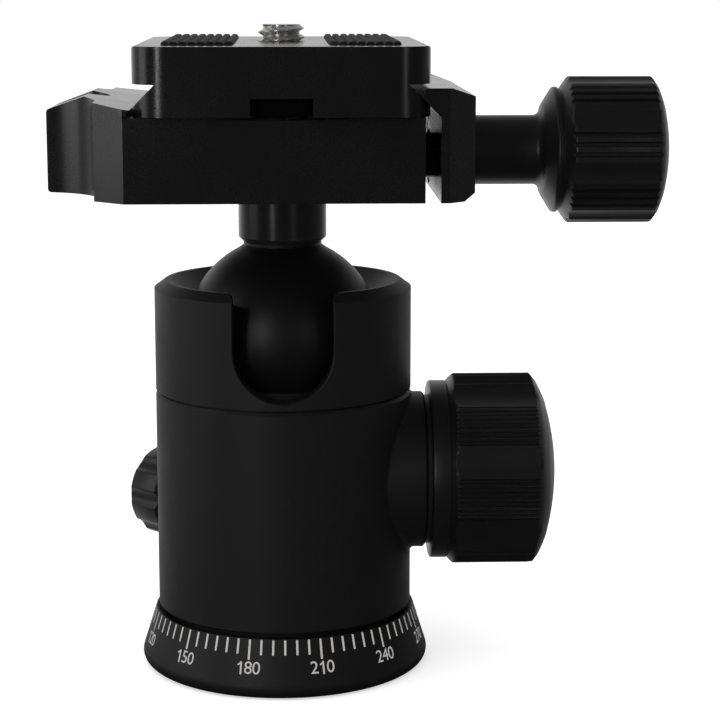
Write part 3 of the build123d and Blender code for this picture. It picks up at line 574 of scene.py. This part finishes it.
def finishes():
    """Every finish by name, made once."""
    if made_finishes:
        return made_finishes
    _, c, _ = settings()
    made_finishes.update(
        body=anodised(
            "body_anodised", c.body, c.body_roughness, scale=FINE, bump=0.004, specular=0.62
        ),
        clamp=anodised(
            "clamp_blasted",
            c.clamp,
            c.clamp_roughness,
            scale=FINE,
            bump=0.002,
            lift=1.15,
            specular=0.85,
        ),
        knob=anodised(
            "knob_anodised", c.knob, c.knob_roughness, scale=FINE, bump=0.003, specular=0.62
        ),
        stem=anodised(
            "stem_turned",
            c.stem,
            c.stem_roughness,
            scale=3600,
            bump=0.001,
            lift=1.2,
            stretch=(0.02, 0.02, 3.0),
        ),
        ball=anodised(
            "ball_coated",
            c.ball,
            c.ball_roughness,
            scale=6000,
            bump=0.001,
            lift=1.1,
            specular=0.55,
        ),
        steel=metal("steel_stainless", c.steel, 0.26),
        dark_steel=metal("steel_black_oxide", c.dark_steel, 0.38),
        brass=metal("brass_machined", c.brass, 0.32),
        plastic=moulded("washer_plastic", c.plastic, 0.5),
        # Black plastic, its darkness partly painted shade of the gaps where the cup and washers
        # sit.
        dark_plastic=moulded("bearing_plastic_and_painted_shade", c.dark_plastic, 0.45),
        paint=moulded("scale_paint", c.paint, 0.55, scale=2600, bump=0.004),
        rubber=moulded("pad_rubber", c.rubber, 0.72, scale=3000, bump=0.03, specular=0.3),
        # Felt of the channel stops, darker than any other finish: partly the felt's own colour,
        # partly painted shade of the plate's channel.
        felt=moulded("channel_felt_and_painted_shade", c.felt, 0.9, scale=3500, bump=0.03, specular=0.08),
        liquid=moulded("level_liquid", c.liquid, 0.2, scale=300, bump=0.0),
        glass=lens_glass("level_glass", c.lens),
    )
    return made_finishes


# The finish of each record slot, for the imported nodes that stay.
SLOT_FINISH = {
    "base_black": "body",
    "body_black": "body",
    "clamp_black": "clamp",
    "knob_black": "knob",
    "ball_black": "ball",
    "stem_black": "stem",
    "screw_black": "dark_steel",
    "steel": "steel",
    "brass": "brass",
    "slip_plastic": "plastic",
    "black_plastic": "dark_plastic",
    "pad_rubber": "rubber",
    "level_body": "liquid",
    "level_glass": "glass",
}

# Nodes whose finish isn't their slot's.
NODE_FINISH = {"guide_pin_front": "dark_steel", "guide_pin_rear": "dark_steel"}


# ---------------------------------------------------------------- operators
class BALLHEAD_OT_finishes(bpy.types.Operator):
    """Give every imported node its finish"""

    bl_idname = "ballhead.finishes"
    bl_label = "Finishes"

    def execute(self, context):
        ready = finishes()
        slots = {row["node"]: row["material_slot"] for row in frame["record"]["subparts"]}
        for name, node in frame["nodes"].items():
            finish = ready[NODE_FINISH.get(name, SLOT_FINISH[slots[name]])]
            if not node.material_slots:
                node.data.materials.append(finish)
            for place in node.material_slots:
                place.material = finish
        return {"FINISHED"}


class BALLHEAD_OT_machined(bpy.types.Operator):
    """Round the machined edges of the clamp, the jaw and the plate"""

    bl_idname = "ballhead.machined"
    bl_label = "Machined edges"

    def execute(self, context):
        sizes, _, _ = settings()
        finish = finishes()["clamp"]
        for node, body in (
            ("clamp_body", "platform"),
            ("clamp_jaw", "jaw"),
            ("quick_plate", "plate"),
        ):
            bm = node_copy(node)
            soften(bm, sizes.edge)
            piece = put(bm, f"{node}_edged", body, finish, [node], WIDE_SHARP)
            flatten_shading(piece)
        return {"FINISHED"}


class BALLHEAD_OT_scale(bpy.types.Operator):
    """Paint the degree scale on the base ring"""

    bl_idname = "ballhead.scale"
    bl_label = "Degree scale"

    cap_height = 0.72  # height of the font's figures as a share of its size
    rounding = 0.45  # of a line's lower corners, as a share of its width

    def onto_ring(self, verts, reading, sizes):
        """Carry flat marks, x across and y up from the ring's top edge, onto the cone."""
        slope = atan2(BASE_SKIRT_R - BASE_RIM_R, BASE_H)
        middle = radians(-90) + radians(reading) - sizes.scale_front
        for v in verts:
            down, proud = -v.co.y, v.co.z + sizes.paint_height
            r = BASE_RIM_R * MM + down * sin(slope)
            z = BASE_H * MM - down * cos(slope)
            azimuth = middle + v.co.x / r
            r += proud * cos(slope)
            z += proud * sin(slope)
            v.co = Vector((r * cos(azimuth), r * sin(azimuth), z))

    def tick(self, bm, reading, sizes):
        """The vertices of one line, its lower corners rounded."""
        tall = sizes.tick_long if reading % 30 == 0 else sizes.tick_short
        made = bmesh.ops.create_cube(bm, size=1.0)["verts"]
        bmesh.ops.scale(bm, vec=(sizes.tick_width, tall, 2 * sizes.paint_height), verts=made)
        bmesh.ops.translate(bm, vec=(0, -tall / 2 - sizes.tick_inset, 0), verts=made)
        corners = [
            e
            for e in edges_between(made)
            if abs(e.verts[0].co.z - e.verts[1].co.z) > sizes.paint_height
            and e.verts[0].co.y < -tall / 2
        ]
        rounded = round_edges(bm, corners, sizes.tick_width * self.rounding)
        return set(rounded["verts"]) | {v for v in made if v.is_valid}

    def bar(self, bm, start, end, width, height):
        """The vertices of a flat bar between two points."""
        across, up = end[0] - start[0], end[1] - start[1]
        made = bmesh.ops.create_cube(bm, size=1.0)["verts"]
        bmesh.ops.scale(bm, vec=(width, hypot(across, up), height), verts=made)
        lean = Matrix.Rotation(atan2(up, across) - pi / 2, 3, "Z")
        bmesh.ops.rotate(bm, cent=(0, 0, 0), matrix=lean, verts=made)
        middle = ((start[0] + end[0]) / 2, (start[1] + end[1]) / 2, 0)
        bmesh.ops.translate(bm, vec=middle, verts=made)
        return made

    def one(self, bm, sizes):
        """The vertices of a plain 1, an upright and a flag, set out in shares of its height."""
        tall, stroke, thick = sizes.digit_height, sizes.digit_stroke, 2 * sizes.paint_height
        x = 0.14 * tall - stroke / 2
        upright = self.bar(bm, (x, -tall / 2), (x, tall / 2), stroke, thick)
        flag_foot = (-0.2 * tall, 0.22 * tall)
        flag = self.bar(bm, flag_foot, (x, 0.43 * tall), 0.8 * stroke, 1.1 * thick)
        return upright + flag

    def figure(self, bm, letter, sizes, context):
        """The vertices of one figure, its middle at the origin."""
        if letter == "1":
            return self.one(bm, sizes)
        letters = bpy.data.curves.new("scale_figure", "FONT")
        letters.body = letter
        letters.align_x = "CENTER"
        letters.align_y = "CENTER"
        letters.size = sizes.digit_height / self.cap_height
        letters.extrude = sizes.paint_height
        letters.resolution_u = 4
        holder = bpy.data.objects.new("scale_figure", letters)
        context.scene.collection.objects.link(holder)
        context.view_layer.update()
        shown = holder.evaluated_get(context.evaluated_depsgraph_get())
        flat = bpy.data.meshes.new_from_object(shown)
        bpy.data.objects.remove(holder)
        bpy.data.curves.remove(letters)
        known = set(bm.verts)
        bm.from_mesh(flat)
        bpy.data.meshes.remove(flat)
        return [v for v in bm.verts if v not in known]

    def execute(self, context):
        sizes, _, _ = settings()
        bm = bmesh.new()
        for reading in range(0, 360, 5):
            self.onto_ring(self.tick(bm, reading, sizes), reading, sizes)
        for reading in range(0, 360, 30):
            figures = str(reading)
            for place, letter in enumerate(figures):
                made = self.figure(bm, letter, sizes, context)
                across = (place - (len(figures) - 1) / 2) * sizes.digit_step
                bmesh.ops.translate(bm, vec=(across, -sizes.digit_drop, 0), verts=made)
                self.onto_ring(made, reading, sizes)
        weld(bm, FINE_WELD)
        put(bm, "degree_scale", "base", finishes()["paint"])
        return {"FINISHED"}


class BALLHEAD_OT_main_knob(bpy.types.Operator):
    """Make the main knob's ribbed grip"""

    bl_idname = "ballhead.main_knob"
    bl_label = "Main knob"

    lobe_steps = 120  # vertices round each lobe
    groove_sharpness = 1.6  # higher leaves broader ribs between narrower grooves

    def execute(self, context):
        sizes, _, _ = settings()
        grip = largest_radius(MAIN_PROFILE)
        lobes, middle = sizes.main_lobes, sizes.main_turn
        step = 2 * pi / lobes
        rib = sizes.main_rib_span / sizes.main_ribs
        half_group = sizes.main_rib_span / 2

        def cut(angle):
            """Radius left by the ribs' grooves, and elsewhere by the hollow between two groups."""
            off = from_nearest(angle, middle - step / 2, step)
            if abs(off) < half_group:
                wave = (off + half_group) / rib % 1.0
                return grip - sizes.main_rib_depth * abs(cos(pi * wave)) ** self.groove_sharpness
            return hollow(angle, middle, lobes, grip, sizes.main_hollow, sizes.main_cutter)

        make_grip("main_knob", MAIN_PROFILE, cut, lobes * self.lobe_steps, MAIN_Z)
        return {"FINISHED"}


class BALLHEAD_OT_clamp_knob(bpy.types.Operator):
    """Make the clamp knob's grooved grip and its sleeve"""

    bl_idname = "ballhead.clamp_knob"
    bl_label = "Clamp knob"

    lobe_steps = 120  # vertices round each lobe
    wall_steepness = 3.2  # higher leaves steeper walls and a wider floor in a groove

    def execute(self, context):
        sizes, _, _ = settings()
        grip = largest_radius(CLAMP_PROFILE)
        lobes, middle = sizes.clamp_lobes, sizes.clamp_turn
        step = 2 * pi / lobes
        half_width = sizes.clamp_groove_width / 2 / grip
        middle_groove = (sizes.clamp_grooves - 1) / 2

        def cut(angle):
            """Radius left by the hollows, and between them by the grooves of a group."""
            off = from_nearest(angle, middle - step / 2, step)
            r = hollow(angle, middle, lobes, grip, sizes.clamp_hollow, sizes.clamp_cutter)
            for i in range(sizes.clamp_grooves):
                near = abs(off - (i - middle_groove) * sizes.clamp_groove_step) / half_width
                if near < 1:
                    wall = min(1.0, (1 - near) * self.wall_steepness)
                    r = min(r, grip - sizes.clamp_groove_depth * wall)
            return r

        make_grip("clamp_knob", CLAMP_PROFILE, cut, lobes * self.lobe_steps, LEAD_Z)
        return {"FINISHED"}


class BALLHEAD_OT_pan_knob(bpy.types.Operator):
    """Make the pan lock's ridged knob"""

    bl_idname = "ballhead.pan_knob"
    bl_label = "Pan lock knob"

    lobe_steps = 36  # vertices round each lobe

    def execute(self, context):
        sizes, _, _ = settings()
        grip, lobes = largest_radius(PAN_PROFILE), sizes.pan_lobes

        def cut(angle):
            """Radius left by the hollows, the first level with the knob's axis."""
            return hollow(angle, 0.0, lobes, grip, sizes.pan_hollow, sizes.pan_cutter)

        make_grip("pan_knob", PAN_PROFILE, cut, lobes * self.lobe_steps, PAN_Z, PAN_AZIMUTH)
        return {"FINISHED"}


class BALLHEAD_OT_screws(bpy.types.Operator):
    """Cut the threads of the camera screw and the clamp screw"""

    bl_idname = "ballhead.screws"
    bl_label = "Threads"

    lead_in = 0.55 * MM  # length of the camera screw's tapered tip
    taper = 1.1  # how much radius the tip loses over its length

    def camera_screw(self, sizes):
        """The camera screw's thread with a tapered tip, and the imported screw's lower part."""
        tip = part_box("camera_screw")[1].z
        low = tip - CAMERA_THREAD * MM
        bm = bmesh.new()
        thread(bm, CAMERA_CREST_R * MM, CAMERA_ROOT_R * MM, sizes.camera_pitch, low, tip)
        for v in bm.verts:
            r = hypot(v.co.x, v.co.y)
            most = CAMERA_CREST_R * MM - max(0.0, v.co.z - (tip - self.lead_in)) * self.taper
            if r > most:
                v.co.x *= most / r
                v.co.y *= most / r
        close_ends(bm)
        head = cut_node("camera_screw", (0, 0, low), (0, 0, 1))
        steel, dark_steel = finishes()["steel"], finishes()["dark_steel"]
        put(bm, "camera_screw_threaded", "camera_screw", steel, ["camera_screw"])
        # Painted shade: the head takes the dark black-oxide finish so that, seen through the
        # plate's channel, it reads as the channel's shade.
        put(head, "camera_screw_head_painted_shade", "camera_screw", dark_steel)

    def lead_screw(self, sizes):
        """The clamp screw's thread up to the jaw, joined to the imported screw's plain end."""
        start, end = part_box("lead_screw")[0].x, LEAD_THREAD_END * MM
        bm = bmesh.new()
        thread(bm, LEAD_CREST_R * MM, LEAD_ROOT_R * MM, sizes.lead_pitch, start, end)
        close_ends(bm)
        along_x = Matrix.Rotation(pi / 2, 3, "Y")
        bmesh.ops.rotate(bm, cent=(0, 0, 0), matrix=along_x, verts=bm.verts)
        bmesh.ops.translate(bm, vec=(0, 0, LEAD_Z * MM), verts=bm.verts)
        shank = cut_node("lead_screw", (end, 0, 0), (-1, 0, 0))
        joined = bpy.data.meshes.new("lead_screw_shank")
        shank.to_mesh(joined)
        shank.free()
        bm.from_mesh(joined)
        bpy.data.meshes.remove(joined)
        dark_steel = finishes()["dark_steel"]
        put(bm, "lead_screw_threaded", "clamp_knob", dark_steel, ["lead_screw"])

    def execute(self, context):
        sizes, _, _ = settings()
        self.camera_screw(sizes)
        self.lead_screw(sizes)
        return {"FINISHED"}


class BALLHEAD_OT_pads(bpy.types.Operator):
    """Mould the ribbed pads on the plate"""

    bl_idname = "ballhead.pads"
    bl_label = "Pads"

    ridge_steps = 8  # vertices across each ridge
    flat_top = 1.35  # over 1 leaves a flat top on a ridge
    fullness = 0.8  # lower leaves fuller ridges between narrower grooves

    def ridged_top(self, bm, low, high, sizes):
        """A sheet of ridges along Y with rounded corners, over a pad's box."""
        middle, half_x, half_y = (low.x + high.x) / 2, (high.x - low.x) / 2, (high.y - low.y) / 2
        corner = sizes.pad_corner
        ridges = round(2 * half_x / sizes.pad_ridge)
        across = ridges * self.ridge_steps
        bmesh.ops.create_grid(bm, x_segments=across, y_segments=24, size=1.0)
        for v in bm.verts:
            x = v.co.x * half_x
            past = max(0.0, abs(x) - (half_x - corner))
            reach = half_y - (corner - sqrt(max(corner**2 - past**2, 0.0)))
            wave = (v.co.x + 1) / 2 * ridges % 1.0
            crest = min(1.0, self.flat_top * abs(sin(pi * wave)) ** self.fullness)
            z = high.z - sizes.pad_ridge_depth * (1 - crest)
            v.co = Vector((middle + x, v.co.y * reach, z))

    def execute(self, context):
        sizes, _, _ = settings()
        for node in ("pad_left", "pad_right"):
            low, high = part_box(node)
            bm = bmesh.new()
            self.ridged_top(bm, low, high, sizes)
            rim = [e for e in bm.edges if e.is_boundary]
            for v in only_verts(bmesh.ops.extrude_edge_only(bm, edges=rim)):
                v.co.z = low.z
            weld(bm, FINE_WELD)
            close_ends(bm)
            rubber = finishes()["rubber"]
            put(bm, f"{node}_ribbed", "plate", rubber, [node], WIDE_SHARP)
        return {"FINISHED"}


class BALLHEAD_OT_stops(bpy.types.Operator):
    """Put a felt stop in each end of the plate's channel, near-black so that it also paints the
    channel's shade
    """

    bl_idname = "ballhead.stops"
    bl_label = "Channel stops"

    width, depth, height = 7.9 * MM, 3.0 * MM, 2.36 * MM
    inset = 2.2 * MM  # from the plate's end
    clearance = 0.03 * MM  # over the plate's underside
    rounding = 0.2 * MM

    def execute(self, context):
        low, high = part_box("quick_plate")
        z = low.z + self.height / 2 + self.clearance
        for name, end, inward in (
            ("channel_stop_front", low.y, 1),
            ("channel_stop_rear", high.y, -1),
        ):
            bm = bmesh.new()
            bmesh.ops.create_cube(bm, size=1.0)
            bmesh.ops.scale(bm, vec=(self.width, self.depth, self.height), verts=bm.verts)
            round_edges(bm, bm.edges[:], self.rounding)
            y = end + inward * (self.inset + self.depth / 2)
            bmesh.ops.translate(bm, vec=(0, y, z), verts=bm.verts)
            put(bm, name, "plate", finishes()["felt"])
        return {"FINISHED"}


class BALLHEAD_OT_level(bpy.types.Operator):
    """Put the bubble and its circle in the level"""

    bl_idname = "ballhead.level"
    bl_label = "Level"

    bubble_rise = 0.3 * MM  # of the bubble's middle, over the lens's underside
    bubble_flatness = 0.2  # height of the bubble as a share of its width
    line_width, line_height = 0.12 * MM, 0.05 * MM
    line_sink = 0.02 * MM  # of the circle in the lens's top

    def bubble(self, sizes, x, z):
        """The bubble, near the underside of the lens."""
        bm = bmesh.new()
        bmesh.ops.create_uvsphere(bm, u_segments=32, v_segments=16, radius=sizes.bubble)
        bmesh.ops.scale(bm, vec=(1, 1, self.bubble_flatness), verts=bm.verts)
        bmesh.ops.translate(bm, vec=(x, 0, z + self.bubble_rise), verts=bm.verts)
        put(bm, "level_bubble", "platform", finishes()["plastic"])

    def circle(self, sizes, x, z):
        """The circle that the bubble is set in, on top of the lens."""
        inner, outer, top = sizes.circle, sizes.circle + self.line_width, self.line_height
        bm = bmesh.new()
        corners = ((inner, 0), (outer, 0), (outer, top), (inner, top), (inner, 0))
        section = chain(bm, [(r, 0, up) for r, up in corners])
        bmesh.ops.spin(
            bm,
            geom=section,
            cent=(0, 0, 0),
            axis=(0, 0, 1),
            angle=2 * pi,
            steps=48,
            use_merge=True,
        )
        bmesh.ops.translate(bm, vec=(x, 0, z - self.line_sink), verts=bm.verts)
        weld(bm)
        face_outwards(bm)
        put(bm, "level_circle", "platform", finishes()["rubber"])

    def execute(self, context):
        sizes, _, _ = settings()
        low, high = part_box("level_lens")
        x = (low.x + high.x) / 2
        self.bubble(sizes, x, low.z)
        self.circle(sizes, x, high.z)
        return {"FINISHED"}


class BALLHEAD_OT_stage(bpy.types.Operator):
    """Set the floor, the light and the camera"""

    bl_idname = "ballhead.stage"
    bl_label = "Stage"

    floor_radius = 3.0

    # Brightness that a gloss sees, from the camera's side at 0 to behind the object at 1.
    surround_steps = (
        (0.0, 0.006),
        (0.25, 0.01),
        (0.42, 0.04),
        (0.5, 0.07),
        (0.6, 0.11),
        (0.7, 0.18),
        (0.82, 0.38),
        (1.0, 1.0),
    )
    surround_right, surround_up = -0.16, -0.3  # how much darker it gets to the right and upwards

    # Name, place, aim and size in metres, share of the lamps' strength, and seen in gloss or not.
    low_aim, high_aim = (0.0, 0.0, 0.05), (0.0, 0.0, 0.1)
    lamps = (
        ("lamp_top", (-0.10, -0.12, 0.62), low_aim, (0.55, 0.45), 0.9, False),
        ("lamp_left", (-0.62, -0.10, 0.25), low_aim, (0.35, 0.55), 0.6, True),
        ("lamp_right", (0.66, 0.10, 0.25), low_aim, (0.30, 0.55), 0.7, False),
        ("lamp_front", (-0.30, -0.62, 0.155), high_aim, (0.07, 0.29), 0.42, True),
        ("lamp_front_right", (0.32, -0.60, 0.155), high_aim, (0.14, 0.29), 0.09, True),
    )

    def surroundings(self, tree, direction):
        """What a gloss sees in a direction: bright behind the object, dim on the camera's side."""
        parts = add(tree, "ShaderNodeSeparateXYZ", [("Vector", direction)])
        across = add(
            tree,
            "ShaderNodeMath",
            [(0, parts.outputs["X"]), (2, parts.outputs["Y"])],
            operation="MULTIPLY_ADD",
        )
        across.inputs[1].default_value = self.surround_right
        upwards = add(
            tree,
            "ShaderNodeMath",
            [(0, parts.outputs["Z"]), (2, across.outputs[0])],
            operation="MULTIPLY_ADD",
        )
        upwards.inputs[1].default_value = self.surround_up
        place = spread(tree, upwards.outputs[0], 0.0, 1.0, -1.0, 1.0)
        levels = add(tree, "ShaderNodeValToRGB", [("Fac", place)])
        ramp = levels.color_ramp
        while len(ramp.elements) < len(self.surround_steps):
            ramp.elements.new(0.5)
        for spot, (at, level) in zip(ramp.elements, self.surround_steps):
            spot.position = at
            spot.color = (level, level, level, 1)
        return levels.outputs["Color"]

    def seen_directly(self, tree, path):
        """Socket that is 1 for what the camera sees straight or through glass."""
        rays = [(0, path.outputs["Is Camera Ray"]), (1, path.outputs["Is Transmission Ray"])]
        return add(tree, "ShaderNodeMath", rays, operation="MAXIMUM").outputs[0]

    def floor(self, studio):
        """A pale floor that turns white towards the camera and shows gloss the surroundings."""
        bm = bmesh.new()
        bmesh.ops.create_circle(bm, cap_ends=True, segments=96, radius=self.floor_radius)
        mesh = bpy.data.meshes.new("studio_floor")
        bm.to_mesh(mesh)
        bm.free()
        made, tree, shader = blank("floor_pale")
        shader.inputs["Base Color"].default_value = (studio.floor, studio.floor, studio.floor, 1)
        shader.inputs["Roughness"].default_value = 0.9
        shader.inputs["Specular IOR Level"].default_value = 0.0
        path = add(tree, "ShaderNodeLightPath")
        seen = self.seen_directly(tree, path)
        glow = add(tree, "ShaderNodeMath", [(0, seen)], operation="MULTIPLY")
        glow.inputs[1].default_value = studio.floor_glow
        shader.inputs["Emission Color"].default_value = (1, 1, 1, 1)
        tree.links.new(glow.outputs[0], shader.inputs["Emission Strength"])
        where = add(tree, "ShaderNodeTexCoord")
        out = add(
            tree,
            "ShaderNodeVectorMath",
            [(0, where.outputs["Object"])],
            operation="NORMALIZE",
        )
        level = self.surroundings(tree, out.outputs["Vector"])
        around = add(tree, "ShaderNodeEmission", [("Color", level)])
        either = add(
            tree,
            "ShaderNodeMixShader",
            [
                (0, path.outputs["Is Glossy Ray"]),
                (1, shader.outputs["BSDF"]),
                (2, around.outputs["Emission"]),
            ],
        )
        surface = tree.nodes["Material Output"].inputs["Surface"]
        tree.links.new(either.outputs["Shader"], surface)
        mesh.materials.append(made)
        floor = bpy.data.objects.new("studio_floor", mesh)
        bpy.context.scene.collection.objects.link(floor)

    def world(self, studio):
        """Even light on the object, the surroundings in gloss and white in the camera's view."""
        made = bpy.data.worlds.new("studio_light")
        bpy.context.scene.world = made
        made.use_nodes = True
        tree = made.node_tree
        path = add(tree, "ShaderNodeLightPath")
        where = add(tree, "ShaderNodeTexCoord")
        around = self.surroundings(tree, where.outputs["Generated"])
        glossy = [("Factor", path.outputs["Is Glossy Ray"]), ("B", around)]
        lit = add(tree, "ShaderNodeMix", glossy, data_type="RGBA")
        lit.inputs["A"].default_value = (studio.fill, studio.fill, studio.fill, 1)
        direct = [("Factor", self.seen_directly(tree, path)), ("A", lit.outputs["Result"])]
        final = add(tree, "ShaderNodeMix", direct, data_type="RGBA")
        final.inputs["B"].default_value = (1, 1, 1, 1)
        tree.links.new(final.outputs["Result"], tree.nodes["Background"].inputs["Color"])

    def lamp(self, name, place, aim, size, energy, glossy):
        """A soft rectangular lamp that points at its aim."""
        data = bpy.data.lights.new(name, "AREA")
        data.shape = "RECTANGLE"
        data.size, data.size_y = size
        data.energy = energy
        made = bpy.data.objects.new(name, data)
        made.location = place
        towards = Vector(aim) - Vector(place)
        made.rotation_euler = towards.to_track_quat("-Z", "Y").to_euler()
        made.visible_glossy = glossy
        bpy.context.scene.collection.objects.link(made)

    def camera(self, studio):
        """The camera in front of the head, a little above it."""
        data = bpy.data.cameras.new("studio_camera")
        data.lens = studio.lens
        data.sensor_width = 36.0
        data.clip_start = 0.01
        made = bpy.data.objects.new("studio_camera", data)
        made.location = (0, -studio.camera_distance, studio.camera_height)
        aim = Matrix.Rotation(-studio.camera_aim, 4, "Z")
        tilt = Matrix.Rotation(pi / 2 - studio.camera_tilt, 4, "X")
        made.rotation_euler = (aim @ tilt).to_euler()
        bpy.context.scene.collection.objects.link(made)
        bpy.context.scene.camera = made

    def execute(self, context):
        _, _, studio = settings()
        self.floor(studio)
        self.world(studio)
        for name, place, aim, size, part, glossy in self.lamps:
            self.lamp(name, place, aim, size, part * studio.key, glossy)
        self.camera(studio)
        context.scene.view_settings.view_transform = "Standard"
        return {"FINISHED"}


OPERATORS = (
    BALLHEAD_OT_finishes,
    BALLHEAD_OT_machined,
    BALLHEAD_OT_scale,
    BALLHEAD_OT_main_knob,
    BALLHEAD_OT_clamp_knob,
    BALLHEAD_OT_pan_knob,
    BALLHEAD_OT_screws,
    BALLHEAD_OT_pads,
    BALLHEAD_OT_stops,
    BALLHEAD_OT_level,
    BALLHEAD_OT_stage,
)


class BALLHEAD_PT_panel(bpy.types.Panel):
    """The ball head's pieces"""

    bl_label = "Ball Head"
    bl_idname = "BALLHEAD_PT_panel"
    bl_space_type = "VIEW_3D"
    bl_region_type = "UI"
    bl_category = "Ball Head"

    def draw(self, context):
        for made in OPERATORS:
            self.layout.operator(made.bl_idname)
        for group in settings():
            box = self.layout.box()
            for name in group.__annotations__:
                box.prop(group, name)


CLASSES = (BallHeadSizes, BallHeadColours, StudioSettings, *OPERATORS, BALLHEAD_PT_panel)


def register():
    for made in CLASSES:
        bpy.utils.register_class(made)
    bpy.types.Scene.ball_head_sizes = PointerProperty(type=BallHeadSizes)
    bpy.types.Scene.ball_head_colours = PointerProperty(type=BallHeadColours)
    bpy.types.Scene.ball_head_studio = PointerProperty(type=StudioSettings)


def unregister():
    del bpy.types.Scene.ball_head_studio
    del bpy.types.Scene.ball_head_colours
    del bpy.types.Scene.ball_head_sizes
    for made in reversed(CLASSES):
        bpy.utils.unregister_class(made)


def main():
    """Register the classes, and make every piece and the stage."""
    register()
    for made in OPERATORS:
        group, name = made.bl_idname.split(".")
        getattr(getattr(bpy.ops, group), name)()


if __name__ == "__main__":
    main()
